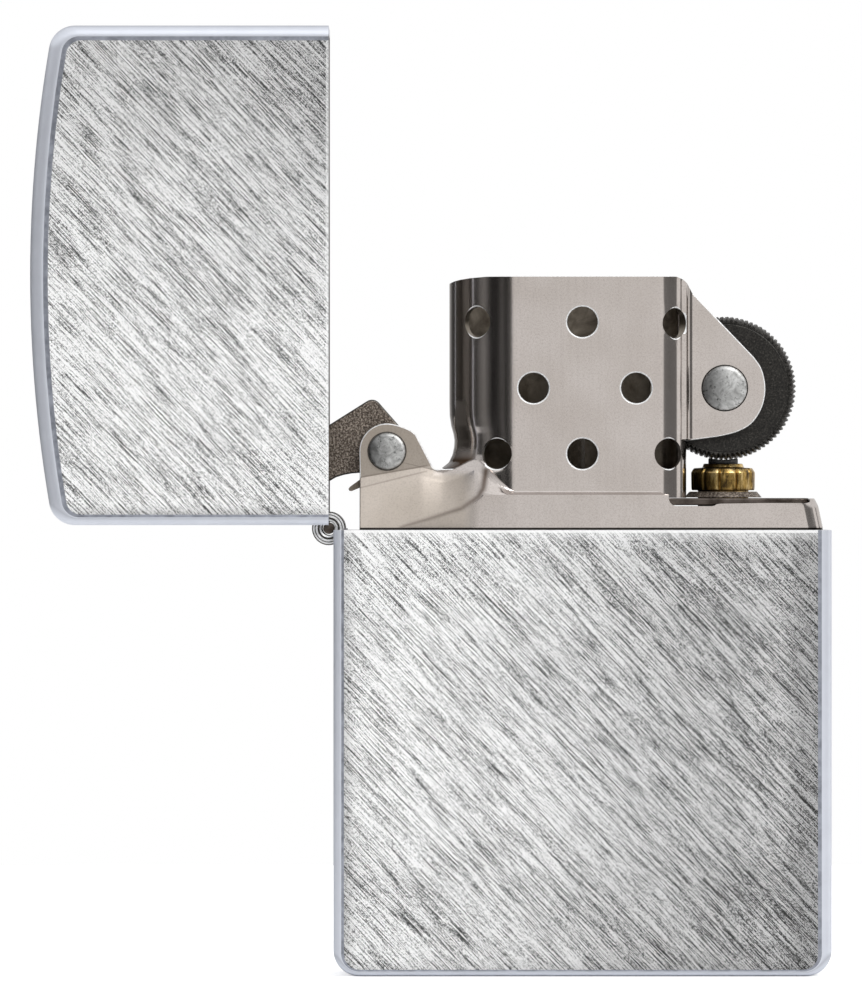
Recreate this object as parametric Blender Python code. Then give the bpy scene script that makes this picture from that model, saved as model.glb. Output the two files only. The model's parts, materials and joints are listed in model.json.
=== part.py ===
"""A flip-top petrol lighter standing with its lid open, one closed solid for each piece.

Frame: the origin is the centre of the case's flat base, +Z is up, the hinge is on the -X side
and the front is on the -Y side. The lid is drawn shut, in the same frame as the case, and its
objects are then turned open about the hinge axis, where their origins are.
"""

import math

import bmesh
import bpy
from mathutils import Matrix, Vector

MM = 0.001

# Case and lid: drawn shells with rounded edges.
CASE_WIDTH = 38.2 * MM
CASE_DEPTH = 12.9 * MM
CASE_HEIGHT = 34.2 * MM
SHELL_WALL = 0.6 * MM
CORNER_RADIUS = 2.0 * MM
EDGE_RADIUS = 0.65 * MM
LID_WIDTH = 38.3 * MM
LID_LEFT = -19.22 * MM
LID_MOUTH = 34.31 * MM
LID_CROWN = 57.2 * MM
DOME_RADIUS = 105.0 * MM

# Hinge: five knuckles on one pin, its leaves inside the two shells.
HINGE_X = -19.47 * MM
HINGE_Z = 34.32 * MM
LID_OPEN_ANGLE = math.radians(-90)
KNUCKLE_RADIUS = 1.29 * MM
PIN_RADIUS = 0.42 * MM
PIN_BORE = 0.5 * MM
HINGE_HALF = 4.6 * MM
CASE_KNUCKLES = ((-4.6 * MM, -2.8 * MM), (-0.9 * MM, 0.9 * MM), (2.8 * MM, 4.6 * MM))
LID_KNUCKLES = ((-2.7 * MM, -1.0 * MM), (1.0 * MM, 2.7 * MM))
LEAF_LENGTH = 9.7 * MM
LEAF_THICKNESS = 0.4 * MM
LEAF_GAP = 0.04 * MM
SLOT_MARGIN = 0.1 * MM

# Insert: a tank with a windscreen, cam ears and wheel ears, all folded from one sheet.
SHEET = 0.5 * MM
TANK_LEFT = -17.1 * MM
TANK_RIGHT = 18.35 * MM
TANK_RIGHT_TOP = 17.95 * MM
TANK_HALF_DEPTH = 5.6 * MM
TANK_CORNER = 1.2 * MM
TANK_BOTTOM = 2.0 * MM
TANK_RIM = 36.28 * MM
RIM_STEP_X = 6.62 * MM
SHOULDER_BOTTOM = 36.7 * MM
SHOULDER_TOP = 37.2 * MM
PINCH_START = 34.4 * MM
PINCHED_HALF_DEPTH = 3.68 * MM
PINCH_LEFT = -9.5 * MM
PINCH_RIGHT = -7.5 * MM
SCREEN_HALF_DEPTH = 4.86 * MM
SCREEN_ROUND_X = -5.34 * MM
SCREEN_RIGHT = 8.0 * MM
SCREEN_RIGHT_RADIUS = 1.55 * MM
SCREEN_TOP = 53.7 * MM
HOLE_RADIUS = 1.23 * MM
HOLE_TOP, HOLE_MIDDLE, HOLE_BOTTOM = 50.17 * MM, 45.1 * MM, 40.05 * MM
HOLE_LEFT, HOLE_RIGHT = -3.85 * MM, 4.0 * MM
SHEET_CUTTER_HALF = 1.2 * MM
SCREEN_FOOT = 36.9 * MM
SHOULDER_LAP = 0.06 * MM
PINCH_MIDDLE = 35.4 * MM
CAVITY_EDGE = 0.3 * MM
HINGE_SLOT_REACH = 1.1 * MM
BEYOND = 7.0 * MM

# Cam that snaps the lid, between two ears.
CAM_X = -15.0 * MM
CAM_Z = 40.25 * MM
CAM_EAR_OUTER = 3.6 * MM
CAM_HALF_WIDTH = 2.7 * MM
CAM_HUB_RADIUS = 2.1 * MM
CAM_PIN_RADIUS = 0.8 * MM
CAM_HEAD_RADIUS = 1.43 * MM

# Spark wheel between its own two ears.
WHEEL_X = 10.95 * MM
WHEEL_Z = 45.1 * MM
WHEEL_RADIUS = 5.5 * MM
WHEEL_HALF_WIDTH = 2.75 * MM
WHEEL_EAR_OUTER = 3.45 * MM
WHEEL_EAR_RADIUS = 2.9 * MM
WHEEL_PIN_RADIUS = 0.95 * MM
WHEEL_HEAD_RADIUS = 1.73 * MM
RIVET_CLEARANCE = 0.08 * MM
RIVET_GAP = 0.04 * MM
RIVET_HEAD = 0.35 * MM
RIVET_HEAD_DOME = 0.12 * MM
WHEEL_CHAMFER = 0.4 * MM
WHEEL_FACE_STEP = 0.2 * MM
WHEEL_GROOVE_DEPTH = 0.45 * MM
WHEEL_GROOVE = (2.6 * MM, 4.1 * MM)
WHEEL_HUB_RADIUS = 2.4 * MM
WHEEL_RIM_RADIUS = 4.4 * MM

# Deck, flint column and wick.
DECK_BOTTOM = 36.1 * MM
DECK_TOP = 36.65 * MM
DECK_CORNER = 0.7 * MM
DECK_MARGIN = 0.56 * MM
FLINT_X = 10.9 * MM
TUBE_RADIUS = 1.95 * MM
TUBE_BORE = 1.3 * MM
TUBE_BOTTOM = 2.6 * MM
COLLAR_RADIUS = 2.4 * MM
COLLAR_TOP = 39.0 * MM
NECK_TOP = 39.3 * MM
NECK_RADIUS = 1.6 * MM
COLLAR_GAP = 0.55 * MM
WASHER_RADIUS = 2.75 * MM
WASHER_TOP_RADIUS = 2.5 * MM
WASHER_THICKNESS = 0.43 * MM
SEAT_GAP = 0.05 * MM
FLINT_RADIUS = 1.15 * MM
FLINT_TOP = 39.45 * MM
FLINT_BOTTOM = 34.3 * MM
PLUNGER_BOTTOM = 32.1 * MM
SPRING_BOTTOM = 7.7 * MM
SPRING_COIL_RADIUS = 0.85 * MM
SPRING_WIRE_RADIUS = 0.2 * MM
SPRING_TURNS = 14
SCREW_HEAD_RADIUS = 2.3 * MM
SCREW_HEAD_THICKNESS = 1.0 * MM
SCREW_SHANK_RADIUS = 1.2 * MM
SCREW_SLOT_HALF = 0.3 * MM
SCREW_SLOT_DEPTH = 0.5 * MM
WICK_X = -1.2 * MM
WICK_RADIUS = 1.5 * MM
WICK_BOTTOM = 6.0 * MM
WICK_TOP = 48.0 * MM
EYELET_RADIUS = 2.4 * MM
EYELET_HEIGHT = 0.65 * MM
PAD_GAP = 0.3 * MM
PAD_CORNER = 0.8 * MM
PAD_THICKNESS = 1.5 * MM
PAD_HOLE_RADIUS = 2.8 * MM

STEEL = ((0.50, 0.46, 0.44), 0.22, 1.0)
SATIN_CHROME = ((0.62, 0.64, 0.68), 0.35, 1.0)
DARK_STEEL = ((0.09, 0.08, 0.07), 0.5, 0.9)
BRASS = ((0.68, 0.48, 0.20), 0.3, 1.0)
COTTON = ((0.86, 0.84, 0.78), 0.95, 0.0)
FELT = ((0.45, 0.44, 0.42), 1.0, 0.0)


def clear_scene():
    for obj in list(bpy.data.objects):
        bpy.data.objects.remove(obj, do_unlink=True)


def material(name, finish):
    colour, roughness, metallic = finish
    made = bpy.data.materials.new(name)
    made.use_nodes = True
    shader = made.node_tree.nodes["Principled BSDF"]
    shader.inputs["Base Color"].default_value = (*colour, 1.0)
    shader.inputs["Roughness"].default_value = roughness
    shader.inputs["Metallic"].default_value = metallic
    return made


def mesh_object(name, shape, origin=(0.0, 0.0, 0.0)):
    """An object from a closed bmesh given in world places, with its own origin."""
    bmesh.ops.remove_doubles(shape, verts=shape.verts, dist=1e-7)
    bmesh.ops.recalc_face_normals(shape, faces=shape.faces)
    bmesh.ops.translate(shape, verts=shape.verts, vec=-Vector(origin))
    mesh = bpy.data.meshes.new(name)
    shape.to_mesh(mesh)
    shape.free()
    mesh.shade_smooth()
    mesh.set_sharp_from_angle(angle=math.radians(32))
    obj = bpy.data.objects.new(name, mesh)
    obj.location = origin
    bpy.context.scene.collection.objects.link(obj)
    return obj


def node(name, shape, finish, origin=(0.0, 0.0, 0.0)):
    obj = mesh_object(name, shape, origin)
    obj.data.materials.append(material(name, finish))
    return obj


def apply_helper(target, operation, helper, solver="EXACT"):
    """Joins a hidden helper object to the target, or cuts it away, with a Boolean modifier."""
    helper.hide_render = True
    helper.display_type = "WIRE"
    helper.parent = target.parent
    modifier = target.modifiers.new(helper.name, "BOOLEAN")
    modifier.operation = operation
    modifier.solver = solver
    modifier.object = helper
    return helper


def combine(target, operation, name, shape, solver="EXACT"):
    return apply_helper(target, operation, mesh_object(name, shape, target.location), solver)


def arc(centre, radius, start, end, steps):
    """Points on an arc, with angles in degrees."""
    angles = [math.radians(start + (end - start) * i / steps) for i in range(steps + 1)]
    return [(centre[0] + radius * math.cos(a), centre[1] + radius * math.sin(a)) for a in angles]


def loft(rings):
    """A closed bmesh through rings that have equal numbers of points."""
    shape = bmesh.new()
    rows = [[shape.verts.new(point) for point in ring] for ring in rings]
    count = len(rows[0])
    for low, high in zip(rows, rows[1:]):
        for i in range(count):
            j = (i + 1) % count
            shape.faces.new((low[i], low[j], high[j], high[i]))
    shape.faces.new(rows[0])
    shape.faces.new(rows[-1])
    return shape


def prism_y(outline, front, back):
    """An outline of (x, z) points, extruded from the front to the back along Y."""
    return loft([[(x, y, z) for x, z in outline] for y in (front, back)])


def prism_z(outline, bottom, top):
    """An outline of (x, y) points, extruded upwards."""
    return loft([[(x, y, z) for x, y in outline] for z in (bottom, top)])


def box(low, high):
    corners = ((low[0], low[1]), (high[0], low[1]), (high[0], high[1]), (low[0], high[1]))
    return prism_z(corners, low[2], high[2])


def disc_y(centre, radius, front, back, steps=20):
    return prism_y(arc(centre, radius, 0, 360 - 360 / steps, steps - 1), front, back)


def turned(profile, steps, place):
    """A solid of revolution about Z from (radius, height) points, moved by the matrix place."""
    shape = bmesh.new()
    points = [shape.verts.new((radius, 0.0, height)) for radius, height in profile]
    closed = min(radius for radius, _ in profile) > 0
    pairs = list(zip(points, points[1:])) + ([(points[-1], points[0])] if closed else [])
    edges = [shape.edges.new(pair) for pair in pairs]
    bmesh.ops.spin(
        shape,
        geom=points + edges,
        cent=(0, 0, 0),
        axis=(0, 0, 1),
        angle=math.tau,
        steps=steps,
        use_merge=True,
    )
    bmesh.ops.transform(shape, matrix=place, verts=shape.verts)
    return shape


def upright(x):
    return Matrix.Translation((x, 0.0, 0.0))


def across(x, z):
    """The matrix that lays a solid of revolution along Y, through the point (x, z)."""
    return Matrix.Translation((x, 0.0, z)) @ Matrix.Rotation(math.radians(90), 4, "X")


def merged(*shapes):
    """Several separate bodies in one bmesh, to use as one cutter."""
    whole = bmesh.new()
    for shape in shapes:
        mesh = bpy.data.meshes.new("joined")
        shape.to_mesh(mesh)
        shape.free()
        whole.from_mesh(mesh)
        bpy.data.meshes.remove(mesh)
    return whole


def mirrored_y(outline):
    return [(x, -y) for x, y in outline]


def rounded_rings(outline, depth, wall, edge, steps=3):
    """Rings along Y whose outline draws in at the front and back to round the edges."""
    half = depth / 2 - wall
    levels = []
    for i in range(steps + 1):
        turn = math.radians(90 * i / steps)
        levels.append((half - edge * (1 - math.cos(turn)), wall + edge * (1 - math.sin(turn))))
    front = [[(x, -y, z) for x, z in outline(inset)] for y, inset in levels]
    back = [[(x, y, z) for x, z in outline(inset)] for y, inset in reversed(levels)]
    return front + back


def case_outline(inset, top=CASE_HEIGHT):
    half = CASE_WIDTH / 2 - inset
    radius = CORNER_RADIUS - inset
    floor = inset + radius
    left = arc((radius - half, floor), radius, 180, 270, 5)
    right = arc((half - radius, floor), radius, 270, 360, 5)
    return [(-half, top), *left, *right, (half, top)]


def lid_outline(inset, mouth=LID_MOUTH):
    """The shut lid's outline: straight sides, rounded corners and a slightly domed top."""
    half = LID_WIDTH / 2
    middle = LID_LEFT + half
    lean = math.degrees(math.asin((half - CORNER_RADIUS) / (DOME_RADIUS - CORNER_RADIUS)))
    dome_centre = (middle, LID_CROWN - DOME_RADIUS)
    drop = (DOME_RADIUS - CORNER_RADIUS) * math.cos(math.radians(lean))
    corner_z = dome_centre[1] + drop
    radius = CORNER_RADIUS - inset
    reach = half - CORNER_RADIUS
    left = arc((middle - reach, corner_z), radius, 180, 90 + lean, 5)
    dome = arc(dome_centre, DOME_RADIUS - inset, 90 + lean, 90 - lean, 8)[1:-1]
    right = arc((middle + reach, corner_z), radius, 90 - lean, 0, 5)
    return [(middle - half + inset, mouth), *left, *dome, *right, (middle + half - inset, mouth)]


def hinge_slot(low, high):
    """Cuts the side wall away around the knuckles."""
    margin = HINGE_HALF + SLOT_MARGIN
    return box((HINGE_X - 2 * MM, -margin, low), (HINGE_X + HINGE_SLOT_REACH, margin, high))


def shell_rings(outline):
    return rounded_rings(outline, CASE_DEPTH, 0.0, EDGE_RADIUS)


def build_case():
    case = node("case_shell", loft(shell_rings(case_outline)), SATIN_CHROME)
    inside = rounded_rings(
        lambda inset: case_outline(inset, CASE_HEIGHT + MM), CASE_DEPTH, SHELL_WALL, CAVITY_EDGE, 2
    )
    combine(case, "DIFFERENCE", "case_cavity", loft(inside))
    slot_floor = HINGE_Z - KNUCKLE_RADIUS - SLOT_MARGIN
    combine(case, "DIFFERENCE", "case_hinge_slot", hinge_slot(slot_floor, CASE_HEIGHT + MM))


def build_lid(pivot):
    origin = (HINGE_X, 0.0, HINGE_Z)
    lid = node("lid_shell", loft(shell_rings(lid_outline)), SATIN_CHROME, origin)
    inside = rounded_rings(
        lambda inset: lid_outline(inset, LID_MOUTH - MM), CASE_DEPTH, SHELL_WALL, CAVITY_EDGE, 2
    )
    slot_top = HINGE_Z + KNUCKLE_RADIUS + SLOT_MARGIN
    cavity = combine(lid, "DIFFERENCE", "lid_cavity", loft(inside))
    slot = combine(lid, "DIFFERENCE", "lid_hinge_slot", hinge_slot(LID_MOUTH - MM, slot_top))
    hang((lid, cavity, slot), pivot)


def hang(objects, pivot):
    """Puts objects whose origin is on the hinge axis on the pivot, which turns them open."""
    for obj in objects:
        obj.parent = pivot
        obj.location = (0.0, 0.0, 0.0)


def knuckle(front, back):
    return disc_y((HINGE_X, HINGE_Z), KNUCKLE_RADIUS, front, back)


def build_hinge_leaf(name, knuckles, plate_x, direction, pivot=None):
    """A leaf plate that runs away from the axis, down for the case and up for the lid."""
    clear = HINGE_Z + direction * (KNUCKLE_RADIUS + 0.08 * MM)
    end = HINGE_Z + direction * LEAF_LENGTH
    thick = plate_x + LEAF_THICKNESS
    plate = box((plate_x, -HINGE_HALF, min(clear, end)), (thick, HINGE_HALF, max(clear, end)))
    origin = (HINGE_X, 0.0, HINGE_Z)
    leaf = node(name, plate, STEEL, origin)
    helpers = []
    for i, (front, back) in enumerate(knuckles):
        overlap = clear + direction * 0.4 * MM
        tongue = box((plate_x, front, min(HINGE_Z, overlap)), (thick, back, max(HINGE_Z, overlap)))
        helpers.append(combine(leaf, "UNION", f"{name}_tongue_{i}", tongue))
        helpers.append(combine(leaf, "UNION", f"{name}_knuckle_{i}", knuckle(front, back)))
    bore = disc_y((HINGE_X, HINGE_Z), PIN_BORE, -6 * MM, 6 * MM, 16)
    helpers.append(combine(leaf, "DIFFERENCE", f"{name}_bore", bore))
    if pivot:
        hang((leaf, *helpers), pivot)


def build_hinge(pivot):
    case_leaf_x = -CASE_WIDTH / 2 + SHELL_WALL + LEAF_GAP
    lid_leaf_x = LID_LEFT + SHELL_WALL + LEAF_GAP
    build_hinge_leaf("hinge_leaf_case", CASE_KNUCKLES, case_leaf_x, -1)
    build_hinge_leaf("hinge_leaf_lid", LID_KNUCKLES, lid_leaf_x, 1, pivot)
    pin = disc_y((HINGE_X, HINGE_Z), PIN_RADIUS, -HINGE_HALF, HINGE_HALF, 14)
    node("hinge_pin", pin, STEEL, (HINGE_X, 0.0, HINGE_Z))


def tank_ring(z, inset):
    """One level of the tank. Its left end narrows towards the cam ears above the pinch."""
    share = min(max((z - PINCH_START) / (SHOULDER_TOP - PINCH_START), 0.0), 1.0)
    pinched = TANK_HALF_DEPTH - (TANK_HALF_DEPTH - PINCHED_HALF_DEPTH) * share - inset
    full = TANK_HALF_DEPTH - inset
    right = TANK_RIGHT + (TANK_RIGHT_TOP - TANK_RIGHT) * share - inset
    left = TANK_LEFT + inset
    radius = TANK_CORNER - inset
    front_left = arc((left + radius, radius - pinched), radius, 180, 270, 4)
    front_right = arc((right - radius, radius - full), radius, 270, 360, 4)
    half = [*front_left, (PINCH_LEFT, -pinched), (PINCH_RIGHT, -full), *front_right]
    outline = half + mirrored_y(reversed(half))
    return [(x, y, z) for x, y in outline]


def screen_ring(inset):
    """The windscreen in plan: round at the left, flat at the front, tightly rounded at the right."""
    radius = SCREEN_HALF_DEPTH - inset
    tight = SCREEN_RIGHT_RADIUS - inset
    corner = (SCREEN_RIGHT - SCREEN_RIGHT_RADIUS, SCREEN_HALF_DEPTH - SCREEN_RIGHT_RADIUS)
    left = arc((SCREEN_ROUND_X, 0.0), radius, 90, 270, 16)
    front = arc((corner[0], -corner[1]), tight, 270, 360, 4)
    back = arc(corner, tight, 0, 90, 4)
    return left + front + back


def shoulder_outline():
    """The flat step between the tank's front wall and the windscreen."""
    outer = TANK_HALF_DEPTH - 0.05 * MM
    inner = SCREEN_HALF_DEPTH - SHEET + 0.05 * MM
    ear = CAM_EAR_OUTER - 0.1 * MM
    right = RIM_STEP_X - 0.07 * MM
    left = PINCH_LEFT + 0.3 * MM
    return [
        (right, -outer),
        (PINCH_RIGHT, -outer),
        (left, -ear),
        (left, 0.3 * MM - ear),
        (PINCH_RIGHT, -inner),
        (right, -inner),
    ]


def cam_ear_outline():
    """One cam ear, joined to the foot of the windscreen by a U-shaped notch."""
    base = SHOULDER_BOTTOM + 0.1 * MM
    left = TANK_LEFT + 0.04 * MM
    crown = arc((CAM_X, CAM_Z), CAM_X - left, 180, 30, 8)
    notch = arc((-10.75 * MM, 39.75 * MM), 0.9 * MM, 200, 300, 4)
    foot = [(-8.43 * MM, 39.0 * MM), (-8.43 * MM, base)]
    return [(left, base), *crown, *notch, *foot]


def wheel_ear_outline():
    """One wheel ear: a long slope down from the windscreen, round about the rivet."""
    left = SCREEN_RIGHT - 0.4 * MM
    nose = arc((WHEEL_X, WHEEL_Z), WHEEL_EAR_RADIUS, 48, -62, 8)
    return [(left, 52.9 * MM), (8.3 * MM, 52.6 * MM), *nose, (left, 41.1 * MM)]


def sheet_cutter(circle, side, turn, z):
    """A draught-hole cutter, square to the sheet where it bends round a circle (x, y, radius)."""
    x, y, radius = circle
    angle = math.radians(turn)
    cutter = disc_y((0.0, 0.0), HOLE_RADIUS, -SHEET_CUTTER_HALF, SHEET_CUTTER_HALF, 12)
    reach = Vector((radius * math.sin(angle), side * (y + radius * math.cos(angle)), 0.0))
    place = Matrix.Translation(Vector((x, 0.0, z)) + reach) @ Matrix.Rotation(-side * angle, 4, "Z")
    bmesh.ops.transform(cutter, matrix=place, verts=cutter.verts)
    return cutter


def wall_holes():
    """Eight draught holes at the front, and seven at the back that lie between the front ones."""
    left = (SCREEN_ROUND_X, 0.0, SCREEN_HALF_DEPTH)
    right_x = SCREEN_RIGHT - SCREEN_RIGHT_RADIUS
    right = (right_x, SCREEN_HALF_DEPTH - SCREEN_RIGHT_RADIUS, SCREEN_RIGHT_RADIUS)
    flats = [(x, 0.0, SCREEN_HALF_DEPTH) for x in (HOLE_LEFT, 0.0, HOLE_RIGHT)]
    front = (
        (flats[1], 0, HOLE_TOP),
        (flats[0], 0, HOLE_MIDDLE),
        (flats[2], 0, HOLE_MIDDLE),
        (flats[1], 0, HOLE_BOTTOM),
        (left, -35, HOLE_TOP),
        (left, -15, HOLE_BOTTOM),
        (right, 32, HOLE_TOP),
        (right, 14, HOLE_BOTTOM),
    )
    back = (
        (flats[0], 0, HOLE_TOP),
        (flats[2], 0, HOLE_TOP),
        (left, -25, HOLE_MIDDLE),
        (flats[1], 0, HOLE_MIDDLE),
        (right, 20, HOLE_MIDDLE),
        (flats[0], 0, HOLE_BOTTOM),
        (flats[2], 0, HOLE_BOTTOM),
    )
    cutters = [sheet_cutter(circle, -1, turn, z) for circle, turn, z in front]
    cutters += [sheet_cutter(circle, 1, turn, z) for circle, turn, z in back]
    return merged(*cutters)


def both_sides(outline, outer):
    """A sheet of the given outline at the front, and its mirror image at the back."""
    return (
        prism_y(outline, -outer, SHEET - outer),
        prism_y(outline, outer - SHEET, outer),
    )


def build_screen():
    """The windscreen as a hidden helper: an open tube with a slot at the right for the wheel."""
    rings = [[(x, y, z) for x, y in screen_ring(0.0)] for z in (SCREEN_FOOT, SCREEN_TOP)]
    screen = mesh_object("screen_body", loft(rings))
    low, high = SCREEN_FOOT - MM, SCREEN_TOP + MM
    hollow = [[(x, y, z) for x, y in screen_ring(SHEET)] for z in (low, high)]
    combine(screen, "DIFFERENCE", "screen_cavity", loft(hollow))
    gap = WHEEL_EAR_OUTER - SHEET
    slot = box((SCREEN_RIGHT - MM, -gap, low), (SCREEN_RIGHT + MM, gap, high))
    combine(screen, "DIFFERENCE", "wheel_slot", slot)
    return screen


def rivet_bores():
    bores = (
        ((CAM_X, CAM_Z), CAM_PIN_RADIUS + RIVET_CLEARANCE),
        ((WHEEL_X, WHEEL_Z), WHEEL_PIN_RADIUS + RIVET_CLEARANCE),
    )
    return merged(*(disc_y(centre, radius, -BEYOND, BEYOND) for centre, radius in bores))


def build_insert_shell():
    """Tank, shoulders, windscreen and ears as one folded sheet.

    Its Booleans use the MANIFOLD solver, because EXACT lost the tank wall where the thin
    sheets of the shoulders and the ears meet it at a shallow angle.
    """
    levels = (TANK_BOTTOM, PINCH_START, PINCH_MIDDLE, SHOULDER_TOP)
    shell = node("insert_shell", loft([tank_ring(z, 0.0) for z in levels]), STEEL)
    inner_levels = (TANK_BOTTOM - MM, *levels[1:], SHOULDER_TOP + MM)
    cavity = loft([tank_ring(z, SHEET) for z in inner_levels])
    rim_cut = box((RIM_STEP_X, -BEYOND, TANK_RIM), (TANK_RIGHT + MM, BEYOND, SHOULDER_TOP + MM))
    front, back = shoulder_outline(), mirrored_y(shoulder_outline())
    step_top = SHOULDER_TOP - SHOULDER_LAP
    shoulders = [prism_z(outline, SHOULDER_BOTTOM, step_top) for outline in (front, back)]
    cam_ears = merged(*both_sides(cam_ear_outline(), CAM_EAR_OUTER))
    wheel_ears = merged(*both_sides(wheel_ear_outline(), WHEEL_EAR_OUTER))
    combine(shell, "DIFFERENCE", "tank_cavity", cavity, "MANIFOLD")
    combine(shell, "DIFFERENCE", "rim_cut", rim_cut, "MANIFOLD")
    combine(shell, "UNION", "shoulders", merged(*shoulders), "MANIFOLD")
    apply_helper(shell, "UNION", build_screen(), "MANIFOLD")
    combine(shell, "UNION", "cam_ears", cam_ears, "MANIFOLD")
    combine(shell, "UNION", "wheel_ears", wheel_ears, "MANIFOLD")
    combine(shell, "DIFFERENCE", "rivet_bores", rivet_bores(), "MANIFOLD")
    combine(shell, "DIFFERENCE", "draught_holes", wall_holes(), "MANIFOLD")


def rivet(name, x, z, pin_radius, head_radius, ear_outer):
    """A pin across both ears with a low domed head on each side."""
    inner = ear_outer + RIVET_GAP
    outer = inner + RIVET_HEAD
    half = [(pin_radius, inner), (head_radius, inner), (head_radius, outer - RIVET_HEAD_DOME)]
    half += [(head_radius * 0.7, outer - RIVET_HEAD_DOME / 6), (0.0, outer)]
    profile = [(radius, -height) for radius, height in reversed(half)] + half
    node(name, turned(profile, 20, across(x, z)), STEEL, (x, 0.0, z))


def cam_outline():
    """The lid cam at rest: a hub about its rivet, an apex above it and an arm into the lid."""
    hub = arc((CAM_X, CAM_Z), CAM_HUB_RADIUS, 60, -120, 10)
    return [
        *hub,
        (-17.08 * MM, 38.6 * MM),
        (-18.37 * MM, 38.43 * MM),
        (-19.43 * MM, 37.97 * MM),
        *arc((-19.9 * MM, 38.7 * MM), 0.85 * MM, 250, 160, 3),
        (-20.75 * MM, 41.25 * MM),
        *arc((-16.15 * MM, 43.5 * MM), 0.72 * MM, 120, 35, 3),
    ]


def build_cam():
    shape = prism_y(cam_outline(), -CAM_HALF_WIDTH, CAM_HALF_WIDTH)
    cam = node("lid_cam", shape, DARK_STEEL, (CAM_X, 0.0, CAM_Z))
    bore = disc_y((CAM_X, CAM_Z), CAM_PIN_RADIUS + RIVET_CLEARANCE, -4 * MM, 4 * MM)
    combine(cam, "DIFFERENCE", "cam_bore", bore)


def build_cam_spring():
    """A flat spring on the deck that rises under the cam and turns down past the tank's end."""
    half_thick = 0.17 * MM
    line = [(-10.45, 36.9), (-11.4, 36.9), (-12.6, 37.5), (-14.2, 37.85), (-17.0, 37.83), (-17.9, 37.5)]
    line = [Vector((x * MM, z * MM)) for x, z in line]
    upper, lower = [], []
    for i, point in enumerate(line):
        along = line[min(i + 1, len(line) - 1)] - line[max(i - 1, 0)]
        across_strip = Vector((-along.y, along.x)).normalized() * half_thick
        upper.append(tuple(point + across_strip))
        lower.append(tuple(point - across_strip))
    strip = prism_y(upper + lower[::-1], -2.2 * MM, 2.2 * MM)
    node("cam_spring", strip, STEEL)


def build_wheel():
    """The wheel has a toothed rim, a groove inside it and a low hub on each side."""
    bore = WHEEL_PIN_RADIUS + RIVET_CLEARANCE
    face = WHEEL_HALF_WIDTH - WHEEL_FACE_STEP
    groove = WHEEL_HALF_WIDTH - WHEEL_GROOVE_DEPTH
    side = [
        (WHEEL_RADIUS, WHEEL_HALF_WIDTH - WHEEL_CHAMFER),
        (WHEEL_RADIUS - WHEEL_CHAMFER, face),
        (WHEEL_RIM_RADIUS, face),
        (WHEEL_GROOVE[1], groove),
        (WHEEL_GROOVE[0], groove),
        (WHEEL_HUB_RADIUS, WHEEL_HALF_WIDTH),
        (bore, WHEEL_HALF_WIDTH),
    ]
    profile = [(radius, -height) for radius, height in reversed(side)] + side
    wheel = turned(profile, 36, across(WHEEL_X, WHEEL_Z))
    node("spark_wheel", wheel, DARK_STEEL, (WHEEL_X, 0.0, WHEEL_Z))


def build_deck():
    """The plate that closes the tank, with holes for the wick and the flint tube."""
    right = TANK_RIGHT_TOP - DECK_MARGIN
    deep = TANK_HALF_DEPTH - DECK_MARGIN
    corner = DECK_CORNER
    narrow = CAM_EAR_OUTER - 0.45 * MM
    half = [
        (TANK_LEFT + 0.6 * MM, -narrow),
        (PINCH_LEFT, -narrow),
        (PINCH_RIGHT, -deep),
        *arc((right - corner, corner - deep), corner, 270, 360, 3),
    ]
    outline = half + mirrored_y(reversed(half))
    deck = node("top_deck", prism_z(outline, DECK_BOTTOM, DECK_TOP), STEEL)
    holes = [
        turned([(0.0, 30 * MM), (radius, 30 * MM), (radius, 40 * MM), (0.0, 40 * MM)], 18, upright(x))
        for x, radius in ((WICK_X, WICK_RADIUS + 0.2 * MM), (FLINT_X, TUBE_RADIUS + 0.1 * MM))
    ]
    combine(deck, "DIFFERENCE", "deck_holes", merged(*holes))


def build_flint_column():
    collar_bottom = DECK_TOP + COLLAR_GAP
    tube = [
        (TUBE_BORE, TUBE_BOTTOM),
        (TUBE_RADIUS, TUBE_BOTTOM),
        (TUBE_RADIUS, collar_bottom),
        (COLLAR_RADIUS, collar_bottom),
        (COLLAR_RADIUS, COLLAR_TOP - 0.25 * MM),
        (COLLAR_RADIUS - 0.2 * MM, COLLAR_TOP),
        (NECK_RADIUS, COLLAR_TOP),
        (NECK_RADIUS, NECK_TOP),
        (TUBE_BORE, NECK_TOP),
    ]
    node("flint_tube", turned(tube, 20, upright(FLINT_X)), BRASS)
    seat = DECK_TOP + SEAT_GAP
    washer = [
        (TUBE_RADIUS + 0.1 * MM, seat),
        (WASHER_RADIUS, seat),
        (WASHER_TOP_RADIUS, seat + WASHER_THICKNESS),
        (TUBE_RADIUS + 0.1 * MM, seat + WASHER_THICKNESS),
    ]
    node("flint_tube_washer", turned(washer, 20, upright(FLINT_X)), DARK_STEEL)
    ends = (FLINT_BOTTOM, FLINT_TOP)
    flint = [(0.0, ends[0]), *((FLINT_RADIUS, z) for z in ends), (0.0, ends[1])]
    node("flint", turned(flint, 14, upright(FLINT_X)), DARK_STEEL)
    plunger_top = FLINT_BOTTOM - 0.06 * MM
    plunger = [
        (0.0, PLUNGER_BOTTOM),
        (FLINT_RADIUS, PLUNGER_BOTTOM),
        (FLINT_RADIUS, plunger_top - 0.5 * MM),
        (0.6 * MM, plunger_top),
        (0.0, plunger_top),
    ]
    node("flint_plunger", turned(plunger, 14, upright(FLINT_X)), BRASS)
    build_flint_spring()
    build_flint_screw()


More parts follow.
